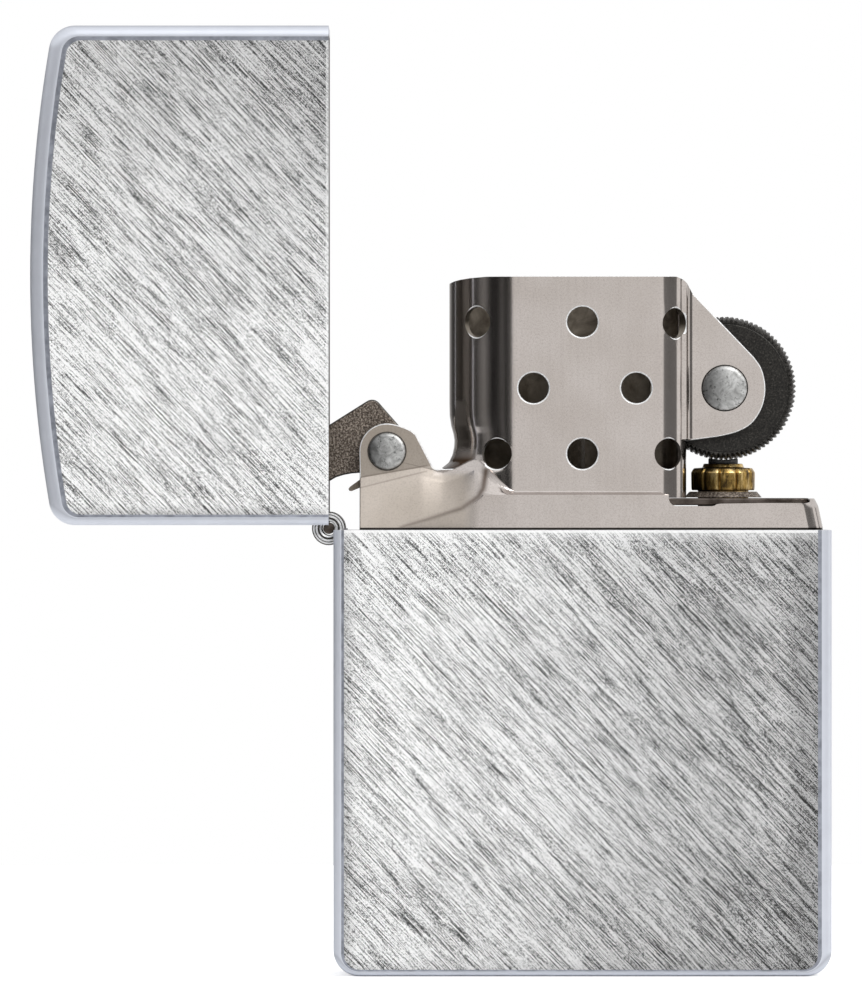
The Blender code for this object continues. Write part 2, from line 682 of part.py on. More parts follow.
def build_flint_spring():
    """A coil between the screw and the plunger, as a curve with a round section."""
    curve = bpy.data.curves.new("flint_spring", "CURVE")
    curve.dimensions = "3D"
    curve.bevel_depth = SPRING_WIRE_RADIUS
    curve.bevel_resolution = 1
    curve.use_fill_caps = True
    steps = SPRING_TURNS * 10
    low = SPRING_BOTTOM + SPRING_WIRE_RADIUS
    high = PLUNGER_BOTTOM - 0.1 * MM - SPRING_WIRE_RADIUS
    line = curve.splines.new("POLY")
    line.points.add(steps)
    for i, point in enumerate(line.points):
        share = i / steps
        turn = math.tau * SPRING_TURNS * share
        x = FLINT_X + SPRING_COIL_RADIUS * math.cos(turn)
        y = SPRING_COIL_RADIUS * math.sin(turn)
        point.co = (x, y, low + (high - low) * share, 1.0)
    spring = bpy.data.objects.new("flint_spring", curve)
    curve.materials.append(material("flint_spring", STEEL))
    bpy.context.scene.collection.objects.link(spring)


def build_flint_screw():
    head_top = TANK_BOTTOM + 0.1 * MM
    head_bottom = head_top - SCREW_HEAD_THICKNESS
    shank_top = SPRING_BOTTOM - 0.1 * MM
    profile = [
        (0.0, head_bottom),
        (SCREW_HEAD_RADIUS - 0.2 * MM, head_bottom),
        (SCREW_HEAD_RADIUS, head_bottom + 0.2 * MM),
        (SCREW_HEAD_RADIUS, head_top),
        (SCREW_SHANK_RADIUS, head_top),
        (SCREW_SHANK_RADIUS, shank_top),
        (0.0, shank_top),
    ]
    origin = (FLINT_X, 0.0, head_bottom)
    screw = node("flint_screw", turned(profile, 20, upright(FLINT_X)), BRASS, origin)
    slot = box(
        (FLINT_X - SCREW_HEAD_RADIUS - MM, -SCREW_SLOT_HALF, head_bottom - MM),
        (FLINT_X + SCREW_HEAD_RADIUS + MM, SCREW_SLOT_HALF, head_bottom + SCREW_SLOT_DEPTH),
    )
    combine(screw, "DIFFERENCE", "screw_slot", slot)


def build_wick():
    wick = [
        (0.0, WICK_BOTTOM),
        (WICK_RADIUS, WICK_BOTTOM),
        (WICK_RADIUS, WICK_TOP - 0.4 * MM),
        (WICK_RADIUS - 0.4 * MM, WICK_TOP),
        (0.0, WICK_TOP),
    ]
    node("wick", turned(wick, 16, upright(WICK_X)), COTTON)
    bore = WICK_RADIUS + 0.1 * MM
    top = DECK_TOP + EYELET_HEIGHT
    eyelet = [
        (bore, DECK_TOP + SEAT_GAP),
        (EYELET_RADIUS, DECK_TOP + SEAT_GAP),
        (EYELET_RADIUS, top - 0.25 * MM),
        (EYELET_RADIUS - 0.3 * MM, top),
        (bore, top),
    ]
    node("wick_eyelet", turned(eyelet, 18, upright(WICK_X)), BRASS)


def packing_ball(name, low, high):
    """A wad of packing, swollen to fill its share of the tank."""
    centre = (Vector(low) + Vector(high)) / 2
    half = (Vector(high) - Vector(low)) / 2
    shape = bmesh.new()
    bmesh.ops.create_uvsphere(shape, u_segments=12, v_segments=7, radius=1.0)
    for vert in shape.verts:
        swollen = [math.copysign(abs(c) ** 0.6, c) for c in vert.co]
        vert.co = [centre[i] + half[i] * swollen[i] for i in range(3)]
    node(name, shape, COTTON)


def build_packing():
    """Three wads to the left of the wick and two between the wick and the flint tube."""
    deep = TANK_HALF_DEPTH - SHEET - PAD_GAP
    low, high = TANK_BOTTOM + 2.0 * MM, DECK_BOTTOM - PAD_GAP
    columns = (
        (TANK_LEFT + SHEET + PAD_GAP, WICK_X - WICK_RADIUS - PAD_GAP, 3),
        (WICK_X + WICK_RADIUS + PAD_GAP, FLINT_X - TUBE_RADIUS - PAD_GAP, 2),
    )
    number = 1
    for start, end, count in columns:
        tall = (high - low) / count
        for i in range(count):
            bottom = low + tall * i
            top = bottom + tall - (PAD_GAP if i < count - 1 else MM)
            packing_ball(f"packing_ball_{number}", (start, -deep, bottom), (end, deep, top))
            number += 1


def build_felt_pad():
    """The felt that closes the tank's open bottom, cut away around the flint tube."""
    side = TANK_HALF_DEPTH - SHEET - PAD_GAP
    left = TANK_LEFT + SHEET + PAD_GAP + PAD_CORNER
    right = TANK_RIGHT - SHEET - PAD_GAP - PAD_CORNER
    outline = [
        *arc((left, PAD_CORNER - side), PAD_CORNER, 180, 270, 3),
        *arc((right, PAD_CORNER - side), PAD_CORNER, 270, 360, 3),
        *arc((right, side - PAD_CORNER), PAD_CORNER, 0, 90, 3),
        *arc((left, side - PAD_CORNER), PAD_CORNER, 90, 180, 3),
    ]
    bottom = TANK_BOTTOM + 0.2 * MM
    pad = node("felt_pad", prism_z(outline, bottom, bottom + PAD_THICKNESS), FELT)
    radius, top = PAD_HOLE_RADIUS, 3 * TANK_BOTTOM
    hole = [(0.0, 0.0), (radius, 0.0), (radius, top), (0.0, top)]
    combine(pad, "DIFFERENCE", "felt_hole", turned(hole, 18, upright(FLINT_X)))


def lid_pivot():
    pivot = bpy.data.objects.new("lid_pivot", None)
    pivot.location = (HINGE_X, 0.0, HINGE_Z)
    pivot.rotation_euler = (0.0, LID_OPEN_ANGLE, 0.0)
    bpy.context.scene.collection.objects.link(pivot)
    return pivot


def main():
    clear_scene()
    pivot = lid_pivot()
    build_case()
    build_lid(pivot)
    build_hinge(pivot)
    build_insert_shell()
    build_deck()
    rivet("cam_rivet", CAM_X, CAM_Z, CAM_PIN_RADIUS, CAM_HEAD_RADIUS, CAM_EAR_OUTER)
    rivet("wheel_rivet", WHEEL_X, WHEEL_Z, WHEEL_PIN_RADIUS, WHEEL_HEAD_RADIUS, WHEEL_EAR_OUTER)
    build_cam()
    build_cam_spring()
    build_wheel()
    build_flint_column()
    build_wick()
    build_packing()
    build_felt_pad()


main()
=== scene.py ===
"""Looks of the flip-top petrol lighter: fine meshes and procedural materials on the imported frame.

Shapes are worked out in millimetres, in the frame's own axes, and scaled to metres when each
object is made. Main sizes come from the CAD nodes' boxes and from the joints.
"""

import json
import math
import random

import bmesh
import bpy
from mathutils import Matrix, Vector, noise

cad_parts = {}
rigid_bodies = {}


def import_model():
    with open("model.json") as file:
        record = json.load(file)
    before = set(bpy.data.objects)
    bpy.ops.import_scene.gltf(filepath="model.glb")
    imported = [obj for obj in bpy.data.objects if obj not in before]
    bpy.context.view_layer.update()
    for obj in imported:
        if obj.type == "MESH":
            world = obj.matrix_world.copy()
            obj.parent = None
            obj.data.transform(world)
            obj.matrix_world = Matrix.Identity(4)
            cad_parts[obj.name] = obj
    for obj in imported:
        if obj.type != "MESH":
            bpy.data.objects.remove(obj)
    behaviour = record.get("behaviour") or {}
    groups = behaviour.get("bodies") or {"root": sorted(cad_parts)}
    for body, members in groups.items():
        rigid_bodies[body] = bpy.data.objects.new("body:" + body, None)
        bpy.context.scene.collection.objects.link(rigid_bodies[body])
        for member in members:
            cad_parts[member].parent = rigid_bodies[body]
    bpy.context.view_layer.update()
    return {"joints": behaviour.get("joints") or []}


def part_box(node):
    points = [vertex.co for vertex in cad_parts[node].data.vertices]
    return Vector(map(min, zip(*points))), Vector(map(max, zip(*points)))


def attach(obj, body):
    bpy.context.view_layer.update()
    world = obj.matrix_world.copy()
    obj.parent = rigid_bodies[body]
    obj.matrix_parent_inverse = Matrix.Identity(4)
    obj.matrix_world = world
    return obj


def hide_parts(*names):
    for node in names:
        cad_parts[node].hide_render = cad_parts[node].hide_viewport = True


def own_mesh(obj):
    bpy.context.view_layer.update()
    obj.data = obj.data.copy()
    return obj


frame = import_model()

MM = 0.001


# ---- sizes read from the frame

def box_mm(node):
    low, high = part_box(node)
    return low / MM, high / MM


def joint_mm(name):
    place = next(joint["pos_m"] for joint in frame["joints"] if joint["name"] == name)
    return place[0] / MM, place[2] / MM


CASE_LOW, CASE_HIGH = box_mm("case_shell")
LID_LOW, LID_HIGH = box_mm("lid_shell")
INSERT_LOW, INSERT_HIGH = box_mm("insert_shell")
DECK_LOW, DECK_HIGH = box_mm("top_deck")
TUBE_LOW, TUBE_HIGH = box_mm("flint_tube")
HINGE = joint_mm("lid_hinge")
CAM = joint_mm("cam_pivot")
WHEEL = joint_mm("wheel_spin")
FLINT_X = joint_mm("flint_screw_turn")[0]
WICK_X = sum(corner.x for corner in box_mm("wick")) / 2

# Case and lid.
DEPTH = CASE_HIGH.y - CASE_LOW.y
WALL = 0.6
CORNER = 2.0
HINGE_HALF = 4.7
KNUCKLE = 1.29
BAND = 0.66
CASE_BORDERS = (0.95, 1.25, 0.6)
LID_BORDERS = (1.6, 0.95, 1.35)
DOME_RADIUS = 105.0

# Insert.
SHEET = 0.5
ROUND_X = -5.34
SCREEN_HALF = 4.86
SCREEN_RIGHT = 8.0
TIGHT = 1.85
SCREEN_TOP = INSERT_HIGH.z
TANK_HALF = INSERT_HIGH.y
EAR_PLANE = 3.6
WHEEL_EAR = 3.45
HOLE = 1.23


# ---- mesh helpers

def polar(centre, radius, degrees):
    turn = math.radians(degrees)
    return centre[0] + radius * math.cos(turn), centre[1] + radius * math.sin(turn)


def arc(centre, radius, start, end, steps):
    return [polar(centre, radius, start + (end - start) * i / steps) for i in range(steps + 1)]


def between(value, points):
    """Straight-line interpolation through (x, y) points."""
    if value <= points[0][0]:
        return points[0][1]
    for (x0, y0), (x1, y1) in zip(points, points[1:]):
        if value <= x1:
            return y0 + (y1 - y0) * (value - x0) / (x1 - x0)
    return points[-1][1]


def steps_between(start, end, spacing):
    count = max(1, round(abs(end - start) / spacing))
    return [start + (end - start) * i / count for i in range(count + 1)]


def divided(points, spacing, measure):
    """The points, with more between them where measure(a, b) is longer than the spacing."""
    line = [points[0]]
    for a, b in zip(points, points[1:]):
        count = max(1, round(measure(a, b) / spacing))
        shares = [i / count for i in range(1, count + 1)]
        line += [(a[0] + (b[0] - a[0]) * share, a[1] + (b[1] - a[1]) * share) for share in shares]
    return line


def inset(outline, distance):
    """Moves a closed outline inwards by the distance, along the mean of its sides' normals."""
    points = [Vector(point) for point in outline]
    side = 1 if sum(a.cross(b) for a, b in zip(points, points[1:] + points[:1])) > 0 else -1
    moved = []
    for before, here, after in zip(points[-1:] + points[:-1], points, points[1:] + points[:1]):
        one, two = (here - before).normalized(), (after - here).normalized()
        normal = Vector((-one.y - two.y, one.x + two.x)).normalized() * side
        lean = max(0.4, normal.dot(Vector((-one.y, one.x)) * side))
        moved.append(tuple(here + normal * distance / lean))
    return moved


def loft(rings, materials=None, first_cap=0, last_cap=0):
    """A closed bmesh through equal rings, with a material index for each band between rings."""
    shape = bmesh.new()
    rows = [[shape.verts.new(point) for point in ring] for ring in rings]
    count = len(rows[0])
    for band, (low, high) in enumerate(zip(rows, rows[1:])):
        for i in range(count):
            j = (i + 1) % count
            face = shape.faces.new((low[i], low[j], high[j], high[i]))
            face.material_index = materials[band] if materials else 0
    shape.faces.new(rows[0]).material_index = first_cap
    shape.faces.new(rows[-1]).material_index = last_cap
    return shape


def mirrored(half):
    """A half outline (x, y) and its mirror image, as one outline."""
    return half + [(x, -y) for x, y in reversed(half)]


def prism_y(outline, front, back):
    return loft([[(x, y, z) for x, z in outline] for y in (front, back)])


def prism_z(outline, bottom, top):
    return loft([[(x, y, z) for x, y in outline] for z in (bottom, top)])


def box(low, high):
    corners = ((low[0], low[1]), (high[0], low[1]), (high[0], high[1]), (low[0], high[1]))
    return prism_z(corners, low[2], high[2])


def quarter(radius, steps):
    """(depth, inset) pairs of a rounded edge, from the face to the side."""
    return [(radius + x, radius - y) for x, y in arc((0, 0), radius, 180, 90, steps)]


def edge_levels(thickness, edge, steps=3):
    """(depth, inset) pairs through a plate's thickness that round its two edges."""
    first = quarter(edge, steps)
    return first + [(thickness - depth, pull) for depth, pull in reversed(first)]


def plate_y(outline, front, back, edge=0.08, steps=3, rim=0):
    """A flat plate across Y with rounded edges, which take the material index rim."""
    levels = edge_levels(back - front, edge, steps)
    bands = [rim] * steps + [0] + [rim] * steps
    return loft([[(x, front + depth, z) for x, z in inset(outline, pull)] for depth, pull in levels], bands)


def plate_z(outline, bottom, top, edge=0.08, steps=3):
    levels = edge_levels(top - bottom, edge, steps)
    return loft([[(x, y, bottom + depth) for x, y in inset(outline, pull)] for depth, pull in levels])


def lathe(profile, place=Matrix(), steps=48, shade=None, bands=None):
    """A solid of revolution about Z.

    shade(radius, height, turn) may push points outwards, and bands gives the material index
    of each part of the profile.
    """
    shape = bmesh.new()
    rows = []
    for i in range(steps):
        turn = math.tau * i / steps
        row = []
        for radius, height in profile:
            reach = radius + (shade(radius, height, turn) if shade and radius > 0 else 0.0)
            row.append(shape.verts.new((reach * math.cos(turn), reach * math.sin(turn), height)))
        rows.append(row)
    closed = min(radius for radius, _ in profile) > 0
    last = len(profile) if closed else len(profile) - 1
    for here, after in zip(rows, rows[1:] + rows[:1]):
        for k in range(last):
            m = (k + 1) % len(profile)
            face = shape.faces.new((here[k], here[m], after[m], after[k]))
            face.material_index = bands[k] if bands else 0
    bmesh.ops.remove_doubles(shape, verts=shape.verts, dist=1e-5)
    bmesh.ops.dissolve_degenerate(shape, dist=1e-6, edges=shape.edges)
    bmesh.ops.transform(shape, matrix=place, verts=shape.verts)
    return shape


def rod(radius, low, high, place, steps):
    """A plain cylinder, which cuts a round hole."""
    return lathe([(0.0, low), (radius, low), (radius, high), (0.0, high)], place, steps)


def rounded_profile(points, radius, steps=3):
    """A turned profile whose inner corners are rounded by the radius."""
    result = [points[0]]
    for before, here, after in zip(*(map(Vector, points[i:]) for i in range(3))):
        one, two = before - here, after - here
        reach = min(radius, one.length * 0.45, two.length * 0.45)
        start, end = here + one.normalized() * reach, here + two.normalized() * reach
        for share in (i / steps for i in range(steps + 1)):
            result.append(tuple(start.lerp(here, share).lerp(here.lerp(end, share), share)))
    return result + [points[-1]]


def upright(x):
    return Matrix.Translation((x, 0, 0))


def facing(x, z, side=-1, y=0):
    """Turns a solid of revolution so that its axis points out of the front (-1) or the back (1)."""
    return Matrix.Translation((x, y, z)) @ Matrix.Rotation(math.radians(-90 * side), 4, "X")


def mirror_back(shape):
    """A copy of the shape mirrored to the back."""
    copy = shape.copy()
    bmesh.ops.transform(copy, matrix=Matrix.Scale(-1, 4, (0, 1, 0)), verts=copy.verts)
    bmesh.ops.reverse_faces(copy, faces=copy.faces)
    return copy


def placed(name, data):
    obj = bpy.data.objects.new(name, data)
    bpy.context.scene.collection.objects.link(obj)
    return obj


def new_object(name, shape, materials=()):
    """An object in metres from a shape in millimetres, with its normals made to agree."""
    bmesh.ops.remove_doubles(shape, verts=shape.verts, dist=1e-5)
    bmesh.ops.recalc_face_normals(shape, faces=shape.faces)
    bmesh.ops.scale(shape, vec=(MM, MM, MM), verts=shape.verts)
    mesh = bpy.data.meshes.new(name)
    shape.to_mesh(mesh)
    shape.free()
    for material in materials:
        mesh.materials.append(material)
    return placed(name, mesh)


def cut(obj, *shapes, operation="DIFFERENCE"):
    """Cuts the shapes from the object one by one, and keeps the result as the object's mesh."""
    for shape in shapes:
        helper = new_object("helper", shape, obj.data.materials)
        modifier = obj.modifiers.new("boolean", "BOOLEAN")
        modifier.operation = operation
        modifier.solver = "MANIFOLD"
        modifier.object = helper
        graph = bpy.context.evaluated_depsgraph_get()
        result = bpy.data.meshes.new_from_object(obj.evaluated_get(graph))
        obj.modifiers.clear()
        used = (obj.data, helper.data)
        obj.data = result
        bpy.data.objects.remove(helper)
        bpy.data.batch_remove(used)


def join(obj, *shapes):
    cut(obj, *shapes, operation="UNION")


def finish_piece(obj, body, node, sharp=32, weighted=True):
    """Smooth shading, the piece's place on its body, and the CAD node that it stands for."""
    obj.data.shade_smooth()
    obj.data.set_sharp_from_angle(angle=math.radians(sharp))
    if weighted:
        modifier = obj.modifiers.new("weighted_normals", "WEIGHTED_NORMAL")
        modifier.keep_sharp = True
    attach(obj, body)
    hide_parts(node)


def add_piece(name, shape, material, body, node, sharp=32, weighted=True):
    """A finished piece that is one shape of one material."""
    piece = new_object(name, shape, (material,))
    finish_piece(piece, body, node, sharp, weighted)
    return piece


# ---- material helpers

def rgba(colour):
    """A colour with full alpha, from three numbers or from one grey."""
    grey = (colour,) * 3 if isinstance(colour, (int, float)) else colour
    return (*grey, 1.0)


def wire_operator(operation, swapped=False):
    def method(self, *others):
        values = (*others, self) if swapped else (self, *others)
        return self.nodes.maths(operation, *values)

    return method


class Wire:
    """A node's output. Arithmetic with it adds Math nodes to its tree."""

    def __init__(self, nodes, socket):
        self.nodes, self.socket = nodes, socket

    __add__, __sub__, __mul__ = map(wire_operator, ("ADD", "SUBTRACT", "MULTIPLY"))
    __gt__, __lt__, __abs__ = map(wire_operator, ("GREATER_THAN", "LESS_THAN", "ABSOLUTE"))
    __rsub__ = wire_operator("SUBTRACT", True)


class Nodes:
    """Short ways to add nodes to a tree."""

    def __init__(self, tree):
        self.tree = tree

    def feed(self, socket, value):
        if isinstance(value, Wire):
            self.tree.links.new(value.socket, socket)
        else:
            socket.default_value = rgba(value) if socket.type == "RGBA" else value

    def node(self, kind, inputs, output=0, **settings):
        """Adds a node, feeds its inputs with wires or values, and gives one of its outputs."""
        made = self.tree.nodes.new("ShaderNode" + kind)
        for key, value in settings.items():
            setattr(made, key, value)
        for key, value in inputs.items():
            self.feed(made.inputs[key], value)
        return Wire(self, made.outputs[output])

    def axes(self, source):
        """The X, Y and Z of a vector."""
        split = self.tree.nodes.new("ShaderNodeSeparateXYZ")
        self.feed(split.inputs[0], source)
        return [Wire(self, output) for output in split.outputs]

    def maths(self, operation, *values):
        return self.node("Math", dict(enumerate(values)), operation=operation)

    def mix(self, one, two, factor, blend="MIX"):
        return self.node("Mix", {0: factor, 6: one, 7: two}, 2, data_type="RGBA", blend_type=blend)

    def tinted(self, tone, tint):
        return self.mix(tone, tint, 1.0, "MULTIPLY")

    def ramp(self, source, *stops):
        """A colour ramp from (place, colour or grey) stops."""
        made = self.tree.nodes.new("ShaderNodeValToRGB")
        self.feed(made.inputs[0], source)
        elements = made.color_ramp.elements
        while len(elements) < len(stops):
            elements.new(0.5)
        for element, (place, colour) in zip(elements, stops):
            element.position = place
            element.color = rgba(colour)
        return Wire(self, made.outputs[0])

    def spread(self, source, low, high, start=0.0, end=1.0, kind="SMOOTHSTEP", clamp=True):
        """The source remapped from low..high to start..end."""
        inputs = {"Value": source, "From Min": low, "From Max": high, "To Min": start, "To Max": end}
        return self.node("MapRange", inputs, interpolation_type=kind, clamp=clamp)


class Painter(Nodes):
    """A Principled material whose nodes work in millimetres.

    The plain colour and roughness that it starts with are for viewers that don't follow nodes.
    """

    def __init__(self, name, colour, roughness, metallic=1.0):
        self.material = bpy.data.materials.new(name)
        self.material.use_nodes = True
        super().__init__(self.material.node_tree)
        self.set("Base Color", colour)
        self.set("Roughness", roughness)
        self.set("Metallic", metallic)
        source = self.node("TexCoord", {}, "Object")
        self.place = self.node("VectorMath", {0: source, "Scale": 1 / MM}, operation="SCALE")
        self.x, _, self.z = self.axes(self.place)

    def set(self, name, value):
        self.feed(self.tree.nodes["Principled BSDF"].inputs[name], value)

    def turned(self, degrees, scale):
        """Coordinates turned about Y by the angle, then scaled along the turned axes."""
        turn = self.node("Mapping", {"Vector": self.place, "Rotation": (0, math.radians(degrees), 0)})
        return self.node("Mapping", {"Vector": turn, "Scale": scale})

    def noise(self, scale, detail, rough, distortion=0.0, place=None):
        inputs = {"Scale": scale, "Detail": detail, "Roughness": rough, "Distortion": distortion}
        return self.node("TexNoise", {"Vector": place or self.place, **inputs})

    def finish(self, colour, source, shine=None, bump=None, rough_source=None):
        """Colours the material, and lets a source vary its roughness and its height.

        shine is the roughness from low to high, and bump a strength and a distance in millimetres.
        """
        self.set("Base Color", colour)
        if shine:
            rough = self.spread(rough_source or source, 0.0, 1.0, *shine, "LINEAR", False)
            self.set("Roughness", rough)
        if bump:
            inputs = {"Height": source, "Strength": bump[0], "Distance": bump[1] * MM}
            self.set("Normal", self.node("Bump", inputs))
        return self.material


def plain(name, colour, roughness, metallic, grain, stops, shine=None, bump=None, sheen=0.0):
    """A material with one noise, which tints it and may change its roughness and its height."""
    paint = Painter(name, colour, roughness, metallic)
    source = paint.noise(*grain)
    paint.set("Sheen Weight", sheen)
    return paint.finish(paint.ramp(source, *stops), source, shine, bump)


# ---- materials

def brushed_chrome():
    """Chrome with short brush marks that run down to the right, and painted shade towards two corners."""
    paint = Painter("brushed_chrome", (0.7, 0.7, 0.7), 0.42, 0.65)
    fine = paint.noise(1.0, 4.0, 0.65, 0.08, paint.turned(-45, (0.5, 1.0, 19.0)))
    crossing = paint.noise(1.0, 4.0, 0.6, 0.1, paint.turned(-47, (0.35, 1.0, 12.0)))
    broad = paint.noise(1.0, 3.0, 0.5, 0.2, paint.turned(-44, (0.12, 1.0, 0.7)))
    grain = paint.noise(12.0, 2.0, 0.7)
    cloud = paint.noise(0.09, 2.0, 0.5)
    marks = fine * 0.56 + crossing * 0.44
    tone = (marks + (broad - 0.5) * 0.1 + (grain - 0.5) * 0.5) * 1.3 - 0.135
    x, z = paint.x, paint.z
    on_lid = z > LID_LOW.z

    def pick(lid_value, case_value):
        return on_lid * lid_value + (1.0 - on_lid) * case_value

    # Painted shade: the lid darker towards its top and its upper right, the case towards its right and its
    # bottom, with a random mottle added.
    lid_painted_shade = paint.spread(z, 44.0, 71.0, 0.0, 0.28) + paint.spread(x + z, 34.0, 50.0, 0.0, 0.26)
    low_painted_shade = paint.spread(z, 20.0, 2.0, 0.0, 0.16) * paint.spread(x, -14.0, 14.0, 1.0, 0.35)
    case_painted_shade = paint.spread(x, -14.0, 14.0, 0.0, 0.52) + low_painted_shade
    shade_and_mottle = pick(lid_painted_shade, case_painted_shade) + (cloud - 0.5) * 0.3
    streaks = paint.ramp(
        tone - shade_and_mottle * 0.05,
        (0.37, (0.06, 0.061, 0.061)),
        (0.44, (0.20, 0.203, 0.203)),
        (0.49, (0.64, 0.644, 0.64)),
        (0.525, 1.0),
        (0.60, 1.0),
    )
    # Painted highlights brighten both mouths, and painted shade darkens the faces near their rounded edges.
    lid_mouth_highlight = (x > LID_HIGH.x - 0.22) * 0.45
    case_mouth_highlight = (z > CASE_HIGH.z - 0.22) * 0.4 + paint.spread(z, CASE_HIGH.z - 1.1, CASE_HIGH.z, 0.0, 0.45)
    left = paint.spread(x, CASE_LOW.x + 0.8, CASE_LOW.x + 1.9, 0.72, 1.0)
    right = paint.spread(x, CASE_HIGH.x - 4.2, CASE_HIGH.x - 2.2, 1.0, 0.74)
    foot = paint.spread(z, CASE_LOW.z + 0.5, CASE_LOW.z + 1.5, 0.85, 1.0)
    lid_side = paint.spread(z, LID_LOW.z + 0.8, LID_LOW.z + 1.7, 0.72, 1.0)
    keep = (1.0 - shade_and_mottle * 0.62) * pick(lid_side, left * right * foot)
    tone = paint.mix(paint.tinted(streaks, keep), 1.0, pick(lid_mouth_highlight, case_mouth_highlight))
    return paint.finish(tone, marks, (0.6, 0.46), (0.3, 0.02))


def satin_chrome():
    """The smooth bluish chrome of the rounded edges, the sides and the insides."""
    paint = Painter("satin_chrome", (0.56, 0.59, 0.66), 0.34, 0.7)
    mottle = paint.noise(0.5, 4.0, 0.6)
    grain = paint.noise(9.0, 3.0, 0.6)
    tone = paint.ramp(mottle, (0.3, (0.71, 0.738, 0.81)), (0.7, (0.76, 0.79, 0.865)))
    # Painted shade by slope: darker where a face looks up, and where it looks a little downwards.
    up = paint.axes(paint.node("NewGeometry", {}, "Normal"))[2]
    stops = ((0.12, 1.0), (0.3, 0.85), (0.42, 0.66), (0.495, 0.95), (0.6, 1.0), (1.0, 0.55))
    tone = paint.tinted(tone, paint.ramp(up * 0.5 + 0.5, *stops))
    return paint.finish(tone, grain, (0.28, 0.42), (0.12, 0.01))


def crease_line(x, z, start, end):
    """1 along the straight line between two points (x, z), and 0 away from it."""
    slope = (end[1] - start[1]) / (end[0] - start[0])
    off = abs(z - start[1] - (x - start[0]) * slope)
    return x.nodes.spread(off, 0.02, 0.10, 1.0, 0.0) * (x < end[0])


def steel_sheet():
    """Polished stainless sheet, faintly warm, with light grain and small stains.

    It takes painted shade and a painted reflection streak from the mesh's "shade", and a painted
    shadow line round the tank just above the case's rim. It is rougher over the pinch and the cam's
    ears, and tinted darker and warmer there.
    """
    paint = Painter("folded_sheet", (0.60, 0.56, 0.54), 0.16)
    grain = paint.noise(7.0, 3.0, 0.75)
    drawn = paint.noise(1.0, 3.0, 0.6, 0.0, paint.turned(0, (3.5, 3.5, 0.12)))
    cloud = paint.noise(0.28, 3.0, 0.5)
    base = paint.ramp(cloud, (0.3, (0.55, 0.505, 0.475)), (0.7, (0.61, 0.565, 0.54)))
    tone = paint.tinted(base, paint.ramp(grain, (0.34, 0.87), (0.54, 1.0)))
    shade = paint.node("Attribute", {}, "Fac", attribute_name="shade")
    tone = paint.mix(tone, (0.06, 0.036, 0.022), shade)
    paint.set("Metallic", 1.0 - shade)
    paint.set("Specular IOR Level", shade * -0.35 + 0.5)
    x, z = paint.x, paint.z
    tint = paint.mix((0.87, 0.845, 0.79), (0.68, 0.65, 0.59), z - x * 0.17 > 41.1)
    pinch = paint.spread(x, -9.4, -7.8, 1.0, 0.0) * paint.spread(z, 38.2, 38.9, 1.0, 0.0)
    pinch_and_ears = paint.maths("MAXIMUM", pinch, paint.spread(x, -11.6, -10.9, 1.0, 0.0))
    pinch_and_ears *= paint.spread(z, 30.0, 34.0)
    tone = paint.tinted(tone, paint.mix(1.0, tint, pinch_and_ears))
    # Painted shade along two crease lines on the tank below the cam's ear.
    for start, end in (((-17.1, 38.24), (-11.93, 39.15)), ((-17.1, 37.43), (-11.93, 38.72))):
        tone = paint.mix(tone, (0.16, 0.13, 0.11), crease_line(x, z, start, end) * 0.35)
    # Painted shadow: a thin dark line round the tank just above the case's rim.
    off_seam_shadow = abs(z - (CASE_HIGH.z + 0.09))
    tone = paint.mix((0.03, 0.027, 0.024), tone, off_seam_shadow > 0.09)
    return paint.finish(tone, grain, (0.09, 0.16), (0.06, 0.006), pinch_and_ears * 6.0 + drawn)


def rivet_steel(name, centre_x):
    """Plated rivet heads with swirled turning marks and a few stains, and painted shade on their left side.
    """
    paint = Painter(name, (0.4, 0.41, 0.42), 0.32)
    swirl = paint.noise(0.9, 4.0, 0.6, 2.2)
    stains = paint.noise(3.2, 5.0, 0.7)
    base = paint.ramp(swirl, (0.34, (0.32, 0.32, 0.312)), (0.64, (0.62, 0.62, 0.61)))
    worn = paint.tinted(base, paint.ramp(stains, (0.32, 0.25), (0.45, 1.0)))
    shade = paint.spread(paint.x, centre_x - 1.5, centre_x + 0.8, 0.30, 1.05)
    return paint.finish(paint.tinted(worn, shade), swirl, (0.40, 0.56), (0.15, 0.02))


def blackened_steel():
    """Brown-black case-hardened steel with a fine pitted grain."""
    paint = Painter("blackened_steel", (0.08, 0.065, 0.05), 0.45, 0.75)
    grain = paint.noise(7.0, 5.0, 0.75)
    cloud = paint.noise(0.9, 3.0, 0.5)
    stops = ((0.38, (0.04, 0.032, 0.026)), (0.5, (0.15, 0.12, 0.098)), (0.6, (0.50, 0.43, 0.36)))
    tone = paint.tinted(paint.ramp(grain, *stops), paint.ramp(cloud, (0.3, 0.6), (0.7, 0.92)))
    return paint.finish(tone, grain, (0.38, 0.6), (0.45, 0.03))


def wheel_steel():
    """Near-black hardened steel, brighter on the worn teeth at the rim."""
    paint = Painter("wheel_steel", (0.05, 0.047, 0.043), 0.42, 0.7)
    grain = paint.noise(8.0, 4.0, 0.7)
    stops = ((0.35, (0.010, 0.0095, 0.009)), (0.55, (0.030, 0.028, 0.025)), (0.75, (0.10, 0.094, 0.083)))
    worn = paint.ramp(grain, (0.35, (0.03, 0.028, 0.026)), (0.65, (0.16, 0.15, 0.135)))
    x, z = paint.x, paint.z
    across, up = x - WHEEL[0], z - WHEEL[1]
    away = paint.maths("SQRT", across * across + up * up)
    tone = paint.mix(paint.ramp(grain, *stops), worn, paint.spread(away, 4.95, 5.5, 0.0, 0.8))
    return paint.finish(tone, grain, (0.34, 0.55), (0.3, 0.02))


